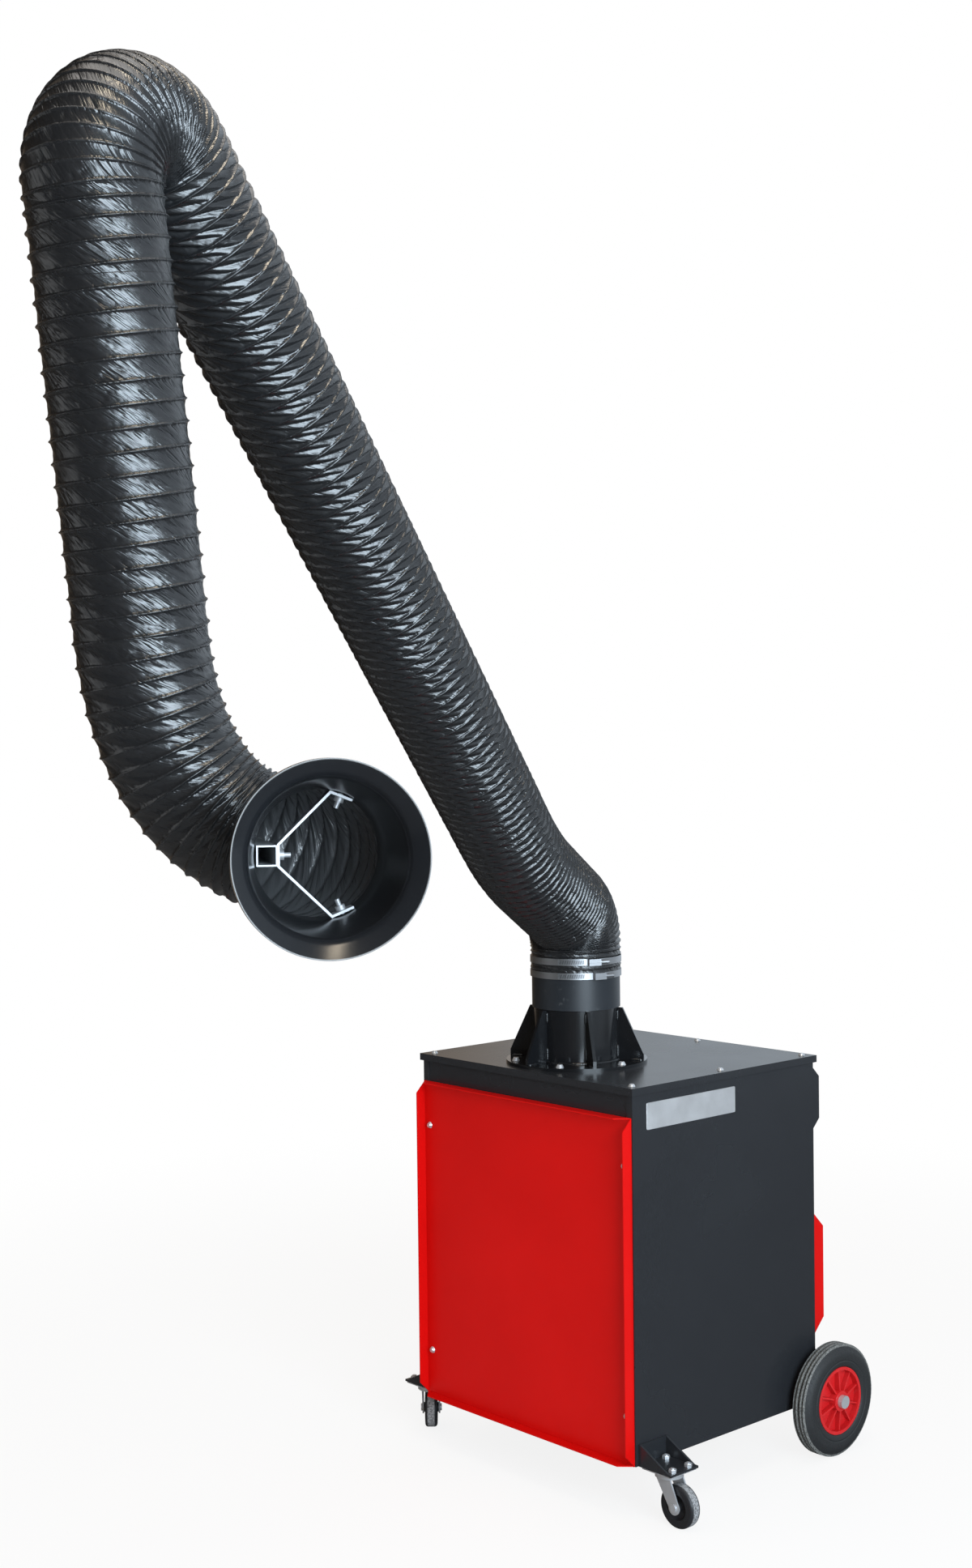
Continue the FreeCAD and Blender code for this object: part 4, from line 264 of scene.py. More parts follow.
def hose_surface(distance, angle, sizes):
    """Outer radius, fold depth and slack on a grid of distance and angle.

    Between two turns of the wire taut cloth hollows like a shallow parabola. Slack cloth folds
    along creases that slant from wire to wire; ridge and crease part on one wire and meet on the
    next, so it lies in long pointed facets. Small crumples ride on both, and the wire stands up as
    a round bump whose width is measured on the bent hose.
    """
    pitch, depth, crumple, slack = (np.interp(distance, MARKS, column)
                                    for column in (PITCH, DEPTH, CRUMPLE, SLACK))
    turns = turns_at(distance)
    bay = turns - angle / TURN
    bay = bay - np.floor(bay)
    strip = turns - bay
    stretch = np.maximum(LEAST_STRETCH, 1 + sizes.ridge * PATH.curve(distance) * np.sin(angle))
    shorter, longer = np.clip(1 - stretch, 0.0, 1.0), np.clip(stretch - 1, 0.0, 1.0)
    slack = np.clip(slack + SLACK_GAIN * shorter - SLACK_LOSS * longer, 0.0, 1.0)
    stray = (cloth_noise(angle, distance, 9, 0.060, 11)
             + 0.5 * cloth_noise(angle, distance, 21, 0.021, 12))
    share = FACET_TIP + (1 - 2 * FACET_TIP) * bay
    folds = facet(sizes.folds * strip + FOLD_SLANT * pitch * bay + FOLD_STRAY * stray, share)
    patch = 0.80 + 0.20 * cloth_noise(angle, distance, 7, 0.090, 13)
    hollow = (4 * bay * (1 - bay)) ** 0.8
    fall = hollow * ((1 - slack) + slack * patch * (0.32 + 0.68 * folds))
    depth = depth * (1 - DEPTH_LOSS * longer)
    twisted = (angle + CREASE_TWIST * distance) % TURN
    crumples = (cloth_noise(twisted, distance, 34, 0.040, 15)
                + 0.5 * cloth_noise(twisted, distance, 70, 0.018, 16))
    gap = np.minimum(bay, 1 - bay) * pitch * stretch
    cover = smooth(np.clip(gap / (WIRE_COVER * sizes.wire), 0.0, 1.0))
    wire = np.exp(-(gap / sizes.wire) ** 2)
    lift = np.interp(distance, [-CUFF, 0.0, 0.02], [0.15, 0.5, 1.0]) * sizes.proud
    radius = (sizes.ridge - lift - depth * fall
              + crumple * cover * (0.3 + 0.7 * slack) * crumples + lift * wire)
    return np.minimum(radius, sizes.ridge + SPARE), fall * cover, slack


def crease_coordinates(distance, angle, radius):
    """Place on the straightened hose, twisted so that a pattern stretched along z slants."""
    twisted = angle[None, :] + CREASE_TWIST * distance[:, None]
    along = np.broadcast_to(distance[:, None], twisted.shape)
    return np.stack([radius * np.cos(twisted), radius * np.sin(twisted), along], axis=-1)


def carry_round(distance, angle, radius):
    """Points of a tube wall: circles square to the path, scaled by the radius.

    Each circle lies on a steady sideways direction and on the one square to that and the path.
    """
    along = PATH.at(distance + HALF_STEP) - PATH.at(distance - HALF_STEP)
    along[distance < -CUFF + HALF_STEP] = UP
    along[distance > PATH.end - HALF_STEP] = HOOD_AXIS
    along /= np.linalg.norm(along, axis=1, keepdims=True)
    side = ACROSS - (along @ ACROSS)[:, None] * along
    side /= np.linalg.norm(side, axis=1, keepdims=True)
    ring = circle(angle, side[:, None], np.cross(along, side)[:, None])
    return PATH.at(distance)[:, None] + radius[:, :, None] * ring


def new_object(name, mesh, material):
    piece = bpy.data.objects.new(name, mesh)
    bpy.context.scene.collection.objects.link(piece)
    mesh.materials.append(material)
    return piece


def grid_faces(rows, columns, close_rows, close_columns):
    """Corner numbers of the quads of a grid, row by row."""
    r = np.arange(rows if close_rows else rows - 1)
    c = np.arange(columns if close_columns else columns - 1)
    r, c = np.meshgrid(r, c, indexing="ij")
    nr, nc = (r + 1) % rows, (c + 1) % columns
    corners = [r * columns + c, r * columns + nc, nr * columns + nc, nr * columns + c]
    return np.stack(corners, axis=-1).reshape(-1, 4)


def ring_faces(points):
    """Quads of a grid of points that closes both ways."""
    return grid_faces(*points.shape[:2], True, True)


def mesh_from_faces(name, points, quads, smooth_faces=True, fields=(), triangles=None):
    """A mesh from arrays of points, quads and triangles, with point fields as (name, values)."""
    mesh = bpy.data.meshes.new(name)
    points = np.ascontiguousarray(points.reshape(-1, 3), dtype=np.float32)
    triangles = np.empty((0, 3), int) if triangles is None else triangles
    corners = np.concatenate([quads.ravel(), triangles.ravel()]).astype(np.int32)
    starts = np.concatenate([np.arange(0, quads.size, 4), np.arange(quads.size, corners.size, 3)])
    mesh.vertices.add(len(points))
    mesh.vertices.foreach_set("co", points.ravel())
    mesh.loops.add(corners.size)
    mesh.loops.foreach_set("vertex_index", corners)
    mesh.polygons.add(len(starts))
    mesh.polygons.foreach_set("loop_start", starts.astype(np.int32))
    mesh.polygons.foreach_set("use_smooth", np.full(len(starts), smooth_faces))
    for field, values in fields:
        kind, key = ("FLOAT_VECTOR", "vector") if values.ndim == 3 else ("FLOAT", "value")
        data = mesh.attributes.new(field, kind, "POINT").data
        data.foreach_set(key, values.astype(np.float32).ravel())
    mesh.update(calc_edges=True)
    mesh.validate()
    return mesh


def circle(angle, side, third):
    """Directions round a circle: cosine times one side direction plus sine times the other."""
    return np.cos(angle)[:, None] * side + np.sin(angle)[:, None] * third


def even_angles(count):
    return np.linspace(0.0, TURN, count, endpoint=False)


def swept_ring(name, outline, centre, axis, side, count, material):
    """An anticlockwise outline of (radius, height) turned about an axis, each point on a circle."""
    axis, side = np.asarray(axis, float), np.asarray(side, float)
    ring = circle(even_angles(count), side, np.cross(axis, side))
    radius, height = outline.T[:, :, None, None]
    points = np.asarray(centre, float) + height * axis + radius * ring
    return new_object(name, mesh_from_faces(name, points, ring_faces(points)[:, ::-1]), material)


def rounded(corners, reach, steps):
    """A closed outline whose corners are quadratic arcs that begin at the given reach from them."""
    corners = np.asarray(corners, float)
    to_back = np.roll(corners, 1, axis=0) - corners
    to_ahead = np.roll(corners, -1, axis=0) - corners
    length_back = np.linalg.norm(to_back, axis=1)
    length_ahead = np.linalg.norm(to_ahead, axis=1)
    cut = np.minimum(reach, 0.45 * np.minimum(length_back, length_ahead))
    first = corners + to_back / length_back[:, None] * cut[:, None]
    last = corners + to_ahead / length_ahead[:, None] * cut[:, None]
    t = np.linspace(0.0, 1.0, steps)[None, :, None]
    arcs = ((1 - t) ** 2 * first[:, None] + 2 * (1 - t) * t * corners[:, None]
            + t ** 2 * last[:, None])
    return arcs.reshape(-1, 2)


class Value:
    """A shader socket that Python arithmetic works on; each operation adds a Math node."""

    def __init__(self, finish, socket):
        self.finish = finish
        self.socket = socket

    def math(self, operation, *others):
        sockets = dict(enumerate((self,) + others))
        return self.finish.node("ShaderNodeMath", {"operation": operation}, sockets)

    def __add__(self, other):
        return self.math("ADD", other)

    def __sub__(self, other):
        return self.math("SUBTRACT", other)

    def __mul__(self, other):
        return self.math("MULTIPLY", other)

    def __rsub__(self, other):
        return self.finish.node("ShaderNodeMath", {"operation": "SUBTRACT"}, {0: other, 1: self})

    __radd__ = __add__
    __rmul__ = __mul__

    def between(self, low, high, to_low=0.0, to_high=1.0, kind="SMOOTHSTEP"):
        """The value carried from one range to another, by a smooth step unless told otherwise."""
        sockets = {"Value": self, "From Min": low, "From Max": high,
                   "To Min": to_low, "To Max": to_high}
        return self.finish.node("ShaderNodeMapRange", {"interpolation_type": kind}, sockets)


class Finish:
    """One procedural material, or the nodes of a world."""

    def __init__(self, name, world=None):
        self.material = world or bpy.data.materials.new(name)
        self.material.use_nodes = True
        self.tree = self.material.node_tree
        self.tree.nodes.clear()
        self.where = self.node("ShaderNodeTexCoord", {}, {}, "Object")

    def node(self, kind, settings, sockets, output=0):
        """Add a node, set its settings, then its sockets, and give one of its outputs."""
        made = self.tree.nodes.new(kind)
        for key, setting in settings.items():
            setattr(made, key, setting)
        for key, amount in sockets.items():
            if isinstance(amount, Value):
                self.tree.links.new(amount.socket, made.inputs[key])
            else:
                made.inputs[key].default_value = amount
        return made if output is None else Value(self, made.outputs[output])

    def noise(self, scale, detail=4.0, rough=0.55, where=None):
        sockets = {"Vector": where or self.where, "Scale": scale, "Detail": detail,
                   "Roughness": rough}
        return self.node("ShaderNodeTexNoise", {}, sockets, "Fac")

    def cells(self, scale, where):
        return self.node("ShaderNodeTexVoronoi", {"feature": "DISTANCE_TO_EDGE"},
                         {"Vector": where, "Scale": scale}, "Distance")

    def ridges(self, scale, sharpness, where):
        """Thin lines along the middle of a noise: one less its distance from it, to a power."""
        off = (self.noise(scale, 2.0, 0.5, where) * 2.0 - 1.0).math("ABSOLUTE")
        return (1 - off).math("POWER", sharpness)

    def vector(self, operation, first, second=None, output=0):
        sockets = {0: first} if second is None else {0: first, 1: second}
        return self.node("ShaderNodeVectorMath", {"operation": operation}, sockets, output)

    def from_point(self, point):
        """Object coordinates counted from a point."""
        return self.vector("SUBTRACT", self.where, tuple(point))

    def along(self, point, axis):
        """Distance from a point, counted along an axis."""
        return self.vector("DOT_PRODUCT", self.from_point(point), tuple(axis), "Value")

    def away(self, point, axis):
        """Distance from an axis through a point: length of the cross product with the axis."""
        across = self.vector("CROSS_PRODUCT", self.from_point(point), tuple(axis))
        return self.vector("LENGTH", across, output="Value")

    def stretched(self, scale):
        return self.node("ShaderNodeMapping", {}, {"Vector": self.where, "Scale": scale})

    def warped(self, scale, amount):
        """Object coordinates shifted by a noise, for bent patterns."""
        push = self.node("ShaderNodeTexNoise", {},
                         {"Vector": self.where, "Scale": scale, "Detail": 2.0}, "Color")
        push = self.node("ShaderNodeVectorMath", {"operation": "SCALE"}, {0: push, "Scale": amount})
        return self.vector("ADD", self.where, push)

    def part(self, axis, where):
        return self.node("ShaderNodeSeparateXYZ", {}, {"Vector": where}, axis)

    def field(self, name, output="Fac"):
        return self.node("ShaderNodeAttribute", {"attribute_name": name}, {}, output)

    def ray(self, *kinds):
        """Whether the ray is of one of the kinds, by name."""
        path = self.node("ShaderNodeLightPath", {}, {}, None)
        return [Value(self, path.outputs[f"Is {kind} Ray"]) for kind in kinds]

    def blend(self, factor, first, second):
        """Mix of two colours, plain or linked."""
        first, second = (c if isinstance(c, Value) else opaque(c) for c in (first, second))
        return self.node("ShaderNodeMix", {"data_type": "RGBA"},
                         {0: factor, 6: first, 7: second}, 2)

    def shaders(self, factor, first, second):
        return self.node("ShaderNodeMixShader", {}, {0: factor, 1: first, 2: second})

    def bump(self, height, strength, distance):
        return self.node("ShaderNodeBump", {},
                         {"Height": height, "Strength": strength, "Distance": distance})

    def surface(self, **sockets):
        """The shader itself, wired to the output."""
        named = {key.replace("_", " "): amount for key, amount in sockets.items()}
        shader = self.node("ShaderNodeBsdfPrincipled", {}, named)
        self.node("ShaderNodeOutputMaterial", {}, {"Surface": shader}, None)
        return self.material


def opaque(colour):
    return tuple(colour) + (1.0,)


def tinted(colour, factor):
    return tuple(min(1.0, channel * factor) for channel in colour)


def greyed(colour, share, grey):
    """A colour with a share of plain grey in it."""
    return tuple((1 - share) * channel + share * grey for channel in colour)


# Depth of fine grain, and width of a sharp edge between two tones
GRAIN, TONE_EDGE = 0.0006, 0.0006


def powder_coat(name, colour, roughness, peel, dust, shine=0.5, lacquer=0.15, worn=None):
    """Baked powder paint: orange peel, change of gloss, dust; rubbed pale past a hood height."""
    coat = Finish(name)
    wide = coat.noise(5.0, 3.0)
    fine = coat.noise(420.0, 2.0)
    specks = coat.noise(160.0, 6.0, 0.75).between(0.66, 0.80)
    tone = coat.blend(wide, tinted(colour, 0.90), tinted(colour, 1.10))
    tone = coat.blend(specks * dust, tone, greyed(colour, 0.25, 0.30))
    if worn is not None:
        rubbed = coat.along(NECK, HOOD_AXIS).between(worn, worn + TONE_EDGE)
        tone = coat.blend(rubbed, tone, (0.14, 0.14, 0.14))
    rough = roughness + (wide - 0.5) * 0.10 + specks * 0.10
    return coat.surface(Base_Color=tone, Roughness=rough, Normal=coat.bump(fine, peel, GRAIN),
                        Specular_IOR_Level=shine, Coat_Weight=lacquer, Coat_Roughness=0.25)


def plated_steel(name, colour, roughness, streak=30.0):
    """Zinc-plated steel: streaks across z, cloudy passivation and small dark pits."""
    steel = Finish(name)
    streaks = steel.noise(38.0, 5.0, 0.6, steel.stretched((1.0, 1.0, streak)))
    clouds = steel.noise(26.0, 3.0)
    pits = steel.noise(240.0, 4.0, 0.7).between(0.64, 0.76)
    tone = steel.blend(clouds, tinted(colour, 0.72), tinted(colour, 1.10))
    tone = steel.blend(pits * 0.5, tone, tinted(colour, 0.35))
    rough = roughness + (clouds - 0.5) * 0.22 + streaks * 0.08
    return steel.surface(Base_Color=tone, Metallic=0.65, Roughness=rough,
                         Normal=steel.bump(streaks, 0.12, 0.0008))


def moulded(name, colour, roughness, grain):
    """Moulded plastic: fine grain, faint flow marks, slightly greyer scuffs."""
    shell = Finish(name)
    flow = shell.noise(9.0, 4.0)
    skin = shell.noise(520.0, 3.0)
    scuffs = shell.noise(70.0, 6.0, 0.7).between(0.60, 0.74)
    tone = shell.blend(flow, tinted(colour, 0.85), tinted(colour, 1.15))
    tone = shell.blend(scuffs * 0.35, tone, greyed(colour, 0.3, 0.32))
    rough = roughness + (flow - 0.5) * 0.12 + scuffs * 0.08
    return shell.surface(Base_Color=tone, Roughness=rough, Normal=shell.bump(skin, grain, GRAIN))


def coated_cloth(name, colour):
    """Vinyl-coated cloth: creases where taut, crinkles where slack, scuffed wires, inside painted
    paler as painted light.
    """
    cloth = Finish(name)
    fold, slack, inside = cloth.field("fold"), cloth.field("slack"), cloth.field("inside")
    slanted = cloth.vector("MULTIPLY", cloth.field("crease", "Vector"), (1.0, 1.0, 0.25))
    creases = cloth.ridges(62.0, 9.0, slanted) * cloth.noise(30.0, 2.0).between(0.40, 0.62)
    fine = cloth.ridges(170.0, 6.0, slanted)
    crinkle = cloth.cells(80.0, cloth.warped(26.0, 0.030))
    patches = cloth.noise(14.0, 3.0)
    taut = 1 - slack * 0.75
    height = (1 - creases * taut - fine * taut * 0.22 + crinkle * slack * 0.16
              + cloth.noise(420.0, 3.0) * 0.05)
    scuff = (1 - fold).between(0.86, 1.0) * cloth.noise(55.0, 5.0, 0.7).between(0.42, 0.70)
    tone = cloth.blend(scuff * 0.15, colour, (0.040, 0.041, 0.044))
    # Painted light: the inner wall is painted paler, standing in for light that falls into the hose
    tone = cloth.blend(inside, tone, (0.075, 0.077, 0.080))
    rough = 0.25 + (patches - 0.5) * 0.12 + scuff * 0.10 - inside * 0.08
    return cloth.surface(Base_Color=tone, Roughness=rough, Specular_IOR_Level=0.75,
                         Normal=cloth.bump(height, 0.55, 0.0030))


def clamp_steel(name, colour):
    """Worm-drive bands: steel with slanting slots over part of the way round, at two heights."""
    band = Finish(name)
    local = band.from_point(SWIVEL)
    angle = band.part("Y", local).math("ARCTAN2", band.part("X", local))
    height = band.part("Z", local)
    slot = (angle * 230.0 + height * 400.0).math("SINE").between(0.0, 0.3)
    slot = slot * angle.between(-1.18, -1.14) * (1 - angle.between(-0.62, -0.58))
    upper, lower = ((height - middle).math("ABSOLUTE") for middle in (0.949, 0.923))
    slot = slot * (1 - upper.math("MINIMUM", lower).between(0.0034, 0.0042))
    tone = band.blend(slot, tinted(colour, 0.62), (0.06, 0.06, 0.065))
    return band.surface(Base_Color=tone, Metallic=0.95, Roughness=0.34 + band.noise(60.0) * 0.12,
                        Normal=band.bump(1 - slot, 0.6, 0.0008))


def wheel_rubber(name, tread, core, joint, rim, roughness, band=None):
    """Wheel in two tones by distance from its axle: dusty tread beyond the rim, dark rubber within.

    With a band, half its width, the tread is pale only near the wheel's middle plane.
    """
    wheel = Finish(name)
    axle = joint["pos_m"], joint["axis"]
    pale = wheel.away(*axle).between(rim, rim + TONE_EDGE)
    if band is not None:
        off = wheel.along(*axle).math("ABSOLUTE")
        pale = pale * (1 - off.between(band - 0.0015, band + 0.0015))
    grime = wheel.noise(330.0, 3.0, 0.7).between(0.35, 0.62)
    dusty = wheel.blend(grime, tinted(tread, 0.35), tinted(tread, 1.35))
    return wheel.surface(Base_Color=wheel.blend(pale, core, dusty),
                         Roughness=roughness + (grime - 0.5) * 0.2,
                         Normal=wheel.bump(wheel.noise(300.0, 3.0), 0.15, GRAIN))


def filter_paper(name):
    """Pleated paper: narrow upright pleats, a sine along x, with painted shade in each pleat's
    hollow.
    """
    paper = Finish(name)
    pleat = (paper.part("X", paper.where) * 700.0).math("SINE")
    # Painted shade: the tone follows the pleat, darker in each hollow and paler on each crest
    tone = paper.blend(pleat.between(-1.0, 1.0, kind="LINEAR"), (0.42, 0.40, 0.36),
                       (0.72, 0.70, 0.64))
    return paper.surface(Base_Color=tone, Roughness=0.9, Normal=paper.bump(pleat, 0.6, 0.003))


FINISHES = {}
# CAD nodes that keep their shape, by the finish they get
PAINTED = {
    "black": ("side_panel_left", "side_panel_right", "rear_wall", "front_frame", "base_pan",
              "top_lid", "outlet_grille", "divider_plate", "inlet_cone", "motor_bracket",
              "axle_brackets", "castor_brackets", "control_panel", "shoulder_bracket",
              "lower_elbow_plates", "upper_elbow_plates", "knuckle", "impeller"),
    "red": ("door_panel", "rear_cover"),
    "pipe": ("pipe_flange",),
    "collar": ("swivel_collar",),
    "zinc": ("castor_plates", "castor_fork_left", "castor_fork_right", "castor_axle_left",
             "castor_axle_right", "rear_axle", "axle_caps", "lower_arm_tube", "upper_arm_tube",
             "shoulder_bolt", "elbow_bolt", "tilt_bolt", "flange_bolts", "panel_bolts"),
    "bright": ("hood_strap", "strap_bolts", "stub_tube"),
    "clamp": ("hose_clamps",),
    "hub": ("hub_left", "hub_right"),
    "plastic": ("cable_gland", "switch_knob", "filter_seal", "shoulder_discs", "elbow_discs",
                "turn_bush"),
    "paper": ("filter_cassette",),
    "alloy": ("motor",),
    "castor_tread_left": ("castor_wheel_left",),
    "castor_tread_right": ("castor_wheel_right",),
}


def joint_named(name):
    return next(joint for joint in frame["joints"] if joint["name"] == name)


def box_middle(node):
    """Middle and half size of a node's box."""
    low, high = np.array(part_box(node))
    return 0.5 * (low + high), 0.5 * (high - low)


class EXTRACTOR_OT_mix_finishes(Operator):
    """Mix every finish and paint the pieces that keep their CAD shape"""

    bl_idname = "extractor.mix_finishes"
    bl_label = "Mix finishes"

    def execute(self, context):
        tone = context.scene.extractor_colours
        FINISHES.update(
            red=powder_coat("red_powder_coat", tone.red, 0.36, 0.07, 0.03, 0.10, 0.0),
            black=powder_coat("black_powder_coat", tone.black, 0.27, 0.06, 0.05, 0.45, 0.0),
            pipe=powder_coat("black_pipe_paint", tinted(tone.black, 0.4), 0.15, 0.05, 0.03),
            hood=powder_coat("black_hood_paint", tinted(tone.black, 0.6), 0.22, 0.05, 0.04, 0.36,
                             0.05, worn=0.1292),
            collar=moulded("grey_sleeve", tone.collar, 0.42, 0.06),
            zinc=plated_steel("zinc_plate", tone.zinc, 0.32),
            bright=plated_steel("bright_zinc", tinted(tone.zinc, 0.75), 0.46),
            clamp=clamp_steel("clamp_band_steel", tone.zinc),
            vinyl=coated_cloth("vinyl_hose_cloth", tone.vinyl),
            tyre=wheel_rubber("tyre_rubber", tone.tread, tone.tyre, joint_named("rear_roll_right"),
                              rim=0.1000, roughness=0.62),
            hub=moulded("red_hub_plastic", tone.hub, 0.38, 0.15),
            plastic=moulded("black_plastic", (0.015, 0.015, 0.016), 0.45, 0.2),
            paper=filter_paper("pleated_paper"),
            alloy=plated_steel("cast_alloy", (0.55, 0.55, 0.56), 0.5),
        )
        for side in ("left", "right"):
            name = "castor_tread_" + side
            middle, half = box_middle("castor_wheel_" + side)
            FINISHES[name] = wheel_rubber(name, tone.castor, (0.012, 0.012, 0.014),
                                          joint_named("castor_roll_" + side),
                                          rim=float(half[2]) - 0.0042, roughness=0.48, band=0.0068)
        for finish, names in PAINTED.items():
            for name in names:
                slots = NODES[name].data.materials
                slots.clear()
                slots.append(FINISHES[finish])
        return {"FINISHED"}


def hose_stretch(name, start, stop, sizes, rows, inner_rows, columns=None):
    """One stretch of hose wall: outer folded cloth, then the inside back to the start, closed.

    With as many rows inside as outside, the inside follows the folds; else it is a plain bore.
    """
    columns = columns or sizes.columns
    distance, back = np.linspace(start, stop, rows), np.linspace(stop, start, inner_rows)
    angle = even_angles(columns)
    grid = np.broadcast_arrays(distance[:, None], angle[None, :])
    radius, fold, slack = hose_surface(*grid, sizes)
    if inner_rows == rows:
        inside, inner_fold, inner_slack = radius[::-1] - sizes.wall, fold[::-1], slack[::-1]
    else:
        inside = np.full((inner_rows, columns), min(sizes.bore, radius.min() - SPARE))
        inner_fold = inner_slack = np.ones((inner_rows, columns))
    inside = np.where(back[:, None] < HALF_STEP, SLEEVE, inside)
    walls = (distance, angle, radius), (back, angle, inside)
    points = np.concatenate([carry_round(*wall) for wall in walls])
    is_inside = np.repeat([0.0, 1.0], [rows, inner_rows])[:, None].repeat(columns, axis=1)
    fields = (("fold", np.concatenate([fold, inner_fold])),
              ("slack", np.concatenate([slack, inner_slack])), ("inside", is_inside),
              ("crease", np.concatenate([crease_coordinates(*wall) for wall in walls])))
    mesh = mesh_from_faces(name, points, ring_faces(points), True, fields)
    piece = new_object(name, mesh, FINISHES["vinyl"])
    return piece


class EXTRACTOR_OT_wind_hose(Operator):
    """Wind the wire hose in its five stretches and hang its two legs on their arms"""

    bl_idname = "extractor.wind_hose"
    bl_label = "Wind hose"

    def execute(self, context):
        sizes = context.scene.extractor_hose
        shoulder = hose_stretch("hose_shoulder_cloth", -CUFF, LEG, sizes, rows=460, inner_rows=40)
        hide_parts("hose_shoulder")
        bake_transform(shoulder)

        bend = np.array([ELBOW - ELBOW_SOFT, HANG + ELBOW_SOFT])
        cuts = np.linspace(LEG, bend[0], 4)
        for number, (low, high) in enumerate(zip(cuts[:-1], cuts[1:]), start=1):
            leg = hose_stretch(f"hose_lower_cloth_{number}", low, high, sizes, 480, inner_rows=30)
            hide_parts("hose_lower_leg")
            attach(leg, "lower_arm")

        cuts = np.linspace(*bend, 3)
        for number, (low, high) in enumerate(zip(cuts[:-1], cuts[1:]), start=1):
            elbow = hose_stretch(f"hose_elbow_cloth_{number}", low, high, sizes, 410, inner_rows=30)
            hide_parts("hose_elbow")
            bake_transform(elbow)

        hang = hose_stretch("hose_upper_cloth", bend[1], HANG_END, sizes, rows=450, inner_rows=40)
        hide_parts("hose_upper_leg")
        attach(hang, "upper_arm")

        wrist = hose_stretch("hose_wrist_cloth", HANG_END, PATH.end, sizes, rows=330,
                             inner_rows=330, columns=144)
        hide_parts("hose_wrist")
        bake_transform(wrist)
        return {"FINISHED"}


# Hood wall from its spigot over the outside and back: radius, height from the neck, corner reach
HOOD_WALL = np.array([
    (0.0770, -0.0140, 0.0008), (0.0795, -0.0140, 0.0008), (0.0795, 0.0320, 0.0140),
    (0.1130, 0.1145, 0.0012), (0.1150, 0.1155, 0.0012), (0.1150, 0.1300, 0.0004),
    (0.1138, 0.1300, 0.0004), (0.0930, 0.1125, 0.0100), (0.0770, 0.0325, 0.0140),
])


class EXTRACTOR_OT_spin_hood(Operator):
    """Spin the hood: spigot, neck, flared cone and lip in one wall"""

    bl_idname = "extractor.spin_hood"
    bl_label = "Spin hood"

    def execute(self, context):
        outline = rounded(HOOD_WALL[:, :2], HOOD_WALL[:, 2], 7)
        hood = swept_ring("hood_cone", outline, NECK, HOOD_AXIS, HOOD_SIDE, 192, FINISHES["hood"])
        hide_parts("hood")
        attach(hood, "suction_hood")
        return {"FINISHED"}


def tyre_outline(half, tread):
    """Outline of a tyre by radius and place across it: side, grooved tread, side with a bead."""
    bead, bottom = 0.063, tread - 0.0060
    corners = [(bead, -half + 0.002), (bead + 0.010, -half),
               (tread - 0.016, -half), (tread - 0.001, -half + 0.010)]
    for groove in (-0.009, 0.0, 0.009):
        corners += [(tread, groove - 0.0026), (bottom, groove - 0.0018),
                    (bottom, groove + 0.0018), (tread, groove + 0.0026)]
    corners += [(tread - 0.001, half - 0.010), (tread - 0.016, half), (bead + 0.014, half),
                (bead + 0.012, half - 0.0012), (bead + 0.010, half), (bead, half - 0.002)]
    return rounded(corners, 0.006, 5)


class EXTRACTOR_OT_mould_tyres(Operator):
    """Mould both rear tyres with rounded shoulders, tread grooves and a bead line"""

    bl_idname = "extractor.mould_tyres"
    bl_label = "Mould tyres"

    def execute(self, context):
        for side, outward in (("right", 1.0), ("left", -1.0)):
            centre, half = box_middle("tyre_" + side)
            tyre = swept_ring("tyre_rubber_" + side, tyre_outline(half[0], half[2]), centre,
                              (outward, 0, 0), (0, 1, 0), 128, FINISHES["tyre"])
            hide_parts("tyre_" + side)
            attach(tyre, "rear_wheel_" + side)
        return {"FINISHED"}


def pole_faces(rows, columns):
    """Quads and triangles of a closed skin: rings between two poles, which are numbered last."""
    quads = grid_faces(rows, columns, False, True)
    ring = np.arange(columns)
    first, last = rows * columns, rows * columns + 1
    low = np.stack([np.full(columns, first), np.roll(ring, -1), ring], axis=-1)
    top = (rows - 1) * columns + ring
    high = np.stack([np.full(columns, last), top, np.roll(top, -1)], axis=-1)
    return quads, np.concatenate([low, high])


def joined_skins(name, grids, material, smooth_faces=False):
    """Several skins in one mesh; the first and the last row of each grid close to a point."""
    points, quads, triangles, count = [], [], [], 0
    for grid in grids:
        rings = grid[1:-1]
        four, three = pole_faces(*rings.shape[:2])
        points += [rings.reshape(-1, 3), grid[0].mean(axis=0)[None], grid[-1].mean(axis=0)[None]]
        quads.append(four + count)
        triangles.append(three + count)
        count += rings.shape[0] * rings.shape[1] + 2
    mesh = mesh_from_faces(name, np.concatenate(points), np.concatenate(quads), smooth_faces, (),
                           np.concatenate(triangles))
    return new_object(name, mesh, material)


def weld_bead(start, end, radius):
    """A run of weld: a tube whose radius ripples along it and closes at its ends as an ellipse."""
    length = np.linalg.norm(end - start)
    along = (end - start) / length
    side = np.cross(along, (0.3, 0.5, 0.81))
    side /= np.linalg.norm(side)
    t = np.linspace(0.0, 1.0, 26)
    ripple = 0.80 + 0.20 * np.abs(np.sin(math.pi * t * length / 0.0035))
    reach = radius * ripple * np.sqrt(np.clip(1 - np.abs(2 * t - 1) ** 5, 0.0, 1.0))
    ring = circle(even_angles(14), side, np.cross(along, side))
    return start + t[:, None, None] * (end - start) + reach[:, None, None] * ring


def weld_ring(radius):
    """A seam about an axis: a small circle whose radius ripples, carried round a large one."""
    angle, turn = even_angles(360), even_angles(10)[:, None]
    lump = 0.0030 + 0.0007 * np.abs(np.sin(75 * angle))
    reach = radius + lump * np.cos(turn)
    return np.stack([reach * np.cos(angle), reach * np.sin(angle), lump * np.sin(turn)], axis=-1)


# Pipe's radius, flange's thickness, half a gusset's thickness, and how far a weld's middle is off
PIPE, FLANGE, GUSSET, WELD_OFF = 0.0795, 0.006, 0.0030, 0.0006


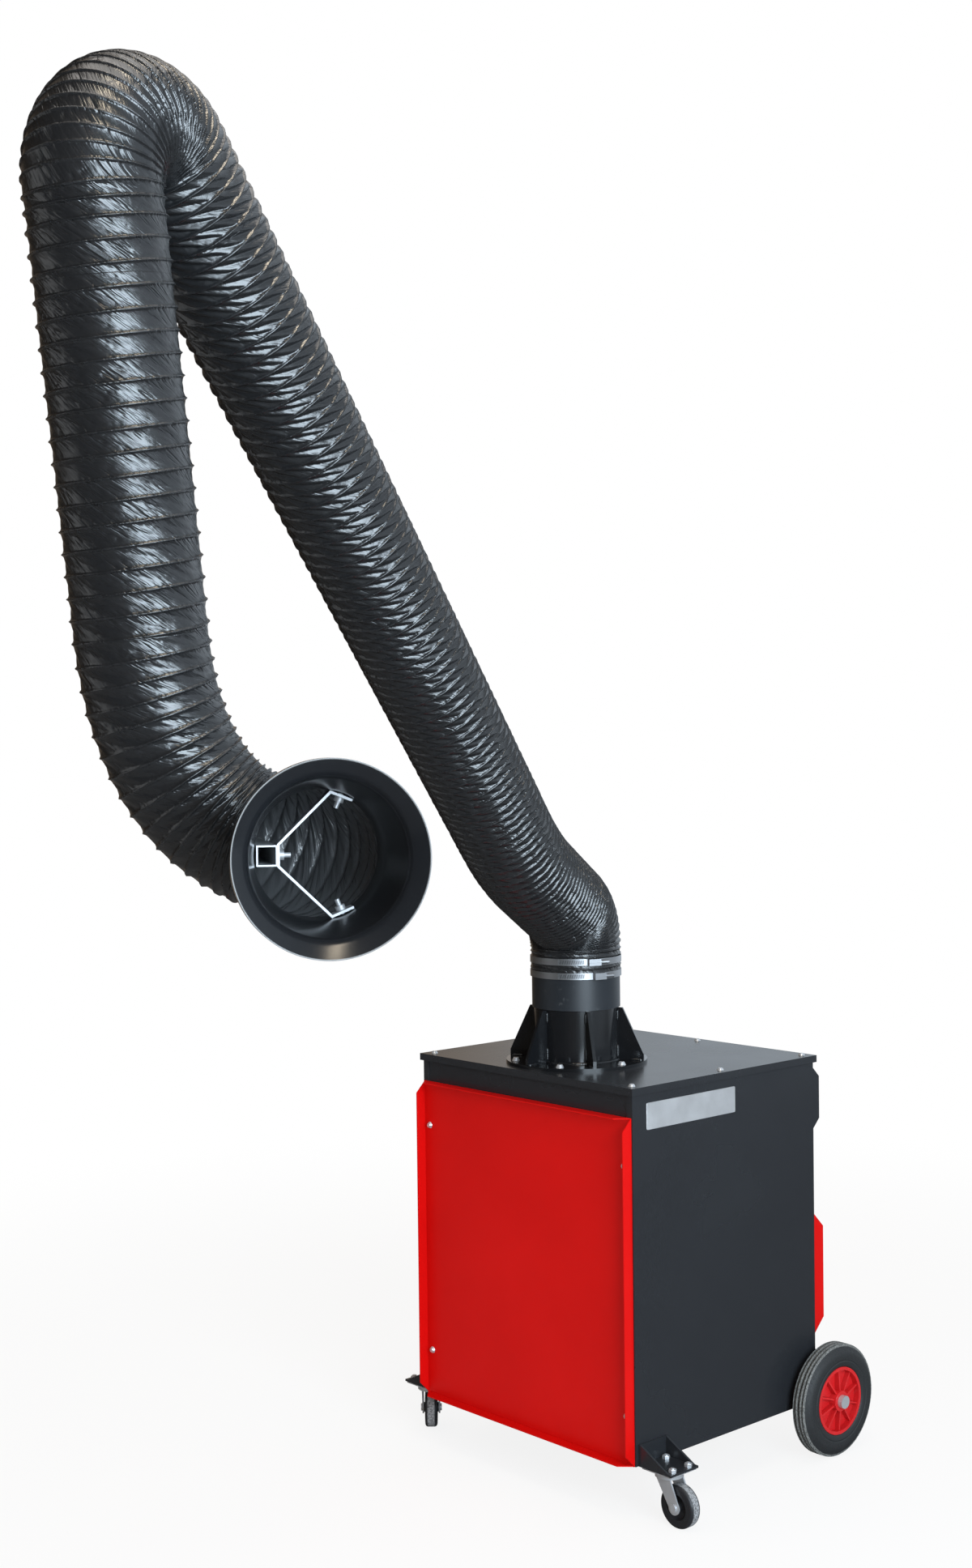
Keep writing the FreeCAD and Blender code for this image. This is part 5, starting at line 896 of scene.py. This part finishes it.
class EXTRACTOR_OT_run_welds(Operator):
    """Run the short welds of the pipe's gussets, and the seam round the pipe's foot"""

    bl_idname = "extractor.run_welds"
    bl_label = "Run welds"

    def execute(self, context):
        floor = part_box("top_lid")[1][2] + FLANGE
        beads = []
        for azimuth in np.radians(np.arange(-90.0, 270.0, 60.0)):
            out = np.array([math.cos(azimuth), math.sin(azimuth), 0.0])
            across = np.array([-math.sin(azimuth), math.cos(azimuth), 0.0])
            for sign in (1.0, -1.0):
                beside = sign * (GUSSET + WELD_OFF) * across
                root = SWIVEL + (PIPE + WELD_OFF) * out + beside
                foot = SWIVEL + beside + (floor + WELD_OFF) * UP
                for low, high, radius in ((0.003, 0.028, 0.0030), (0.072, 0.093, 0.0028)):
                    beads.append(weld_bead(root + (floor + low) * UP, root + (floor + high) * UP,
                                           radius))
                beads.append(weld_bead(foot + 0.104 * out, foot + 0.127 * out, 0.0030))
        welds = joined_skins("gusset_welds", beads, FINISHES["pipe"], True)
        points = weld_ring(PIPE) + SWIVEL + floor * UP
        mesh = mesh_from_faces("pipe_seam", points, ring_faces(points)[:, ::-1])
        for piece in (welds, new_object("pipe_seam", mesh, FINISHES["pipe"])):
            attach(piece, "cabinet")
        return {"FINISHED"}


def hex_nut(centre, width, height):
    """Upright nut with its bolt end: the radius follows six flats, then closes over a round top."""
    angle = even_angles(36)
    flat = (angle + math.pi / 6) % (math.pi / 3) - math.pi / 6
    hexagon = 0.5 * width / np.cos(flat)
    bolt = np.full_like(angle, 0.5 * width)
    rows = ((0.0 * bolt, 0.0), (hexagon, 0.0), (hexagon, 0.82),
            (np.minimum(hexagon, 0.98 * bolt), 1.0), (0.6 * bolt, 1.0), (0.55 * bolt, 1.30),
            (0.0 * bolt, 1.30))
    ring = circle(angle, np.array([0.0, 1.0, 0.0]), np.array([-1.0, 0.0, 0.0]))
    return np.stack([np.array(centre) + share * height * UP + radius[:, None] * ring
                     for radius, share in rows])


class EXTRACTOR_OT_fit_fasteners(Operator):
    """Fit the nuts of the castor plates"""

    bl_idname = "extractor.fit_fasteners"
    bl_label = "Fit fasteners"

    def execute(self, context):
        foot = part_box("castor_brackets")[0][2] + 0.0040
        swivels = [joint_named("castor_swivel_" + side)["pos_m"] for side in ("left", "right")]
        places = [(x + dx, y + dy, foot) for x, y, z in swivels
                  for dx in (-0.026, 0.026) for dy in (-0.020, 0.020)]
        heads = [hex_nut(place, width=0.0125, height=0.0055) for place in places]
        nuts = joined_skins("castor_nuts", heads, FINISHES["zinc"])
        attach(nuts, "cabinet")
        return {"FINISHED"}


class EXTRACTOR_OT_fit_label(Operator):
    """Fit the bare metal plate on the cabinet's side"""

    bl_idname = "extractor.fit_label"
    bl_label = "Fit side plate"

    def execute(self, context):
        low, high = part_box("side_panel_right")
        y0, y1 = low[1] + 0.035, low[1] + 0.269
        z0, z1 = high[2] - 0.075, high[2] - 0.028
        outline = rounded([(y0, z0), (y1, z0), (y1, z1), (y0, z1)], 0.003, 6)
        centre = outline.mean(axis=0)
        rows = ((0.0, 0.0), (1.0, 0.0), (1.0, 0.0009), (0.995, 0.0012), (0.0, 0.0012))
        skin = np.stack([np.column_stack([np.full(len(outline), high[0] + lift),
                                          centre + (outline - centre) * share])
                         for share, lift in rows])
        steel = plated_steel("brushed_plate", (0.60, 0.60, 0.61), 0.38, streak=24.0)
        plate = joined_skins("side_plate", [skin], steel)
        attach(plate, "cabinet")
        return {"FINISHED"}


WHITE = (1.0, 1.0, 1.0, 1.0)
# Lamps: name, place, aim, size, watts and colour
LAMPS = (
    ("window_lamp", (4.3, -1.75, 1.9), (0.3, -0.9, 1.2), (2.5, 3.0), 300.0, (0.74, 0.88, 1.0)),
    ("left_lamp", (-1.9, -4.3, 2.0), (0.1, -0.7, 0.9), (2.2, 2.6), 13.0, (0.95, 0.98, 1.0)),
    ("top_lamp", (0.2, -0.6, 4.8), (0.2, -0.6, 0.0), (2.6, 2.6), 40.0, (1.0, 0.96, 0.92)),
    ("ceiling_lamp", (1.70, -1.40, 4.6), (0.84, -1.32, 1.12), (0.45, 1.2), 32.0,
     (1.0, 0.86, 0.66)),
)
# The floor: half its side, points along a side, and how far it lies under the wheels
FLOOR_HALF, FLOOR_POINTS, FLOOR_DROP = 4.5, 9, 0.0005


class EXTRACTOR_OT_set_studio(Operator):
    """Set the floor, the light and the camera"""

    bl_idname = "extractor.set_studio"
    bl_label = "Set studio"

    def execute(self, context):
        scene, studio = context.scene, context.scene.extractor_studio
        scene.view_settings.view_transform = "Standard"
        self.lay_floor(studio)
        self.light_room(scene)
        for lamp in LAMPS:
            self.hang_lamp(scene, *lamp)
        self.aim_camera(scene, studio)
        return {"FINISHED"}

    def lay_floor(self, studio):
        """A wide flat grid: white to the camera apart from the shadow, and dull in reflections."""
        side = np.linspace(-FLOOR_HALF, FLOOR_HALF, FLOOR_POINTS)
        x, y = np.meshgrid(side, side, indexing="ij")
        points = np.stack([x, y, np.full_like(x, -FLOOR_DROP)], axis=-1)
        cover = Finish("studio_floor")
        lit, dull = (cover.node("ShaderNodeBsdfDiffuse", {}, {"Color": opaque(colour)})
                     for colour in (studio.floor, tinted(studio.floor, 0.12)))
        glow = cover.node("ShaderNodeEmission", {}, {"Color": WHITE, "Strength": 1.0})
        camera, through, gloss = cover.ray("Camera", "Transmission", "Glossy")
        reach = cover.vector("LENGTH", cover.where, output="Value")
        seen = (camera + through + gloss * 0.05) * reach.between(0.9, 3.2, 0.86, 1.0)
        mixed = cover.shaders(seen, cover.shaders(gloss, lit, dull), glow)
        cover.node("ShaderNodeOutputMaterial", {}, {"Surface": mixed}, None)
        quads = grid_faces(FLOOR_POINTS, FLOOR_POINTS, False, False)
        mesh = mesh_from_faces("studio_floor", points, quads)
        new_object("studio_floor", mesh, cover.material)

    def light_room(self, scene):
        """White to the camera, even light on the part, walls that darken leftwards in gloss."""
        scene.world = bpy.data.worlds.new("white_room")
        room = Finish("white_room", scene.world)
        camera, through, gloss = room.ray("Camera", "Transmission", "Glossy")
        look = room.node("ShaderNodeTexCoord", {}, {}, "Generated")
        left, behind = (room.vector("DOT_PRODUCT", look, way, "Value")
                        for way in ((-0.67, -0.74, 0.0), (-0.74, 0.67, 0.0)))
        wall = (behind.between(0.25, 0.85, 0.28, 0.90) * left.between(-0.08, 0.05, 1.0, 0.42)
                * left.between(0.1, 0.7, 1.0, 0.12) + left.between(-0.95, -0.3, 0.42, 0.0))
        level = gloss * wall + (1 - gloss) * 0.62
        tint = room.blend(left.between(-0.08, 0.04), (0.80, 0.90, 1.0), (1.0, 0.80, 0.62))
        dim = room.node("ShaderNodeBackground", {}, {"Color": tint, "Strength": level})
        white = room.node("ShaderNodeBackground", {}, {"Color": WHITE, "Strength": 1.0})
        mixed = room.shaders(camera.math("MAXIMUM", through), dim, white)
        room.node("ShaderNodeOutputWorld", {}, {"Surface": mixed}, None)

    def hang_lamp(self, scene, name, place, aim, size, watts, colour):
        """A soft rectangular lamp, turned to what it is aimed at."""
        light = bpy.data.lights.new(name, "AREA")
        light.shape = "RECTANGLE"
        light.size, light.size_y = size
        light.energy = watts
        light.color = colour
        lamp = bpy.data.objects.new(name, light)
        lamp.location = place
        lamp.rotation_euler = (Vector(aim) - Vector(place)).to_track_quat("-Z", "Y").to_euler()
        scene.collection.objects.link(lamp)

    def aim_camera(self, scene, studio):
        """Camera axes from yaw, dip and roll, set as the columns of its matrix."""
        level = Vector((-math.sin(studio.yaw), math.cos(studio.yaw), 0.0))
        right = Vector((math.cos(studio.yaw), math.sin(studio.yaw), 0.0))
        up = Vector((0.0, 0.0, 1.0))
        ahead = math.cos(studio.pitch) * level - math.sin(studio.pitch) * up
        over = math.sin(studio.pitch) * level + math.cos(studio.pitch) * up
        x = math.cos(studio.roll) * right + math.sin(studio.roll) * over
        y = -math.sin(studio.roll) * right + math.cos(studio.roll) * over
        data = bpy.data.cameras.new("photo_camera")
        data.sensor_fit = "VERTICAL"
        data.sensor_height = 36.0
        data.lens = studio.lens
        data.clip_end = 100.0
        camera = bpy.data.objects.new("photo_camera", data)
        columns = [(*axis, 0.0) for axis in (x, y, -ahead)] + [(*studio.camera, 1.0)]
        camera.matrix_world = Matrix(columns).transposed()
        scene.collection.objects.link(camera)
        scene.camera = camera


OPERATORS = (
    EXTRACTOR_OT_mix_finishes, EXTRACTOR_OT_wind_hose, EXTRACTOR_OT_spin_hood,
    EXTRACTOR_OT_mould_tyres, EXTRACTOR_OT_run_welds, EXTRACTOR_OT_fit_fasteners,
    EXTRACTOR_OT_fit_label, EXTRACTOR_OT_set_studio,
)


class EXTRACTOR_PT_sidebar(Panel):
    """The steps of the dressing, in order"""

    bl_idname = "EXTRACTOR_PT_sidebar"
    bl_label = "Fume extractor"
    bl_space_type = "VIEW_3D"
    bl_region_type = "UI"
    bl_category = "Extractor"

    def draw(self, context):
        for operator in OPERATORS:
            self.layout.operator(operator.bl_idname)


CLASSES = (HoseSizes, CoatColours, StudioSettings) + OPERATORS + (EXTRACTOR_PT_sidebar,)


def register():
    for part in CLASSES:
        bpy.utils.register_class(part)
    bpy.types.Scene.extractor_hose = PointerProperty(type=HoseSizes)
    bpy.types.Scene.extractor_colours = PointerProperty(type=CoatColours)
    bpy.types.Scene.extractor_studio = PointerProperty(type=StudioSettings)


def unregister():
    del bpy.types.Scene.extractor_studio
    del bpy.types.Scene.extractor_colours
    del bpy.types.Scene.extractor_hose
    for part in reversed(CLASSES):
        bpy.utils.unregister_class(part)


def main():
    register()
    bpy.ops.extractor.mix_finishes()
    bpy.ops.extractor.wind_hose()
    bpy.ops.extractor.spin_hood()
    bpy.ops.extractor.mould_tyres()
    bpy.ops.extractor.run_welds()
    bpy.ops.extractor.fit_fasteners()
    bpy.ops.extractor.fit_label()
    bpy.ops.extractor.set_studio()


if __name__ == "__main__":
    main()
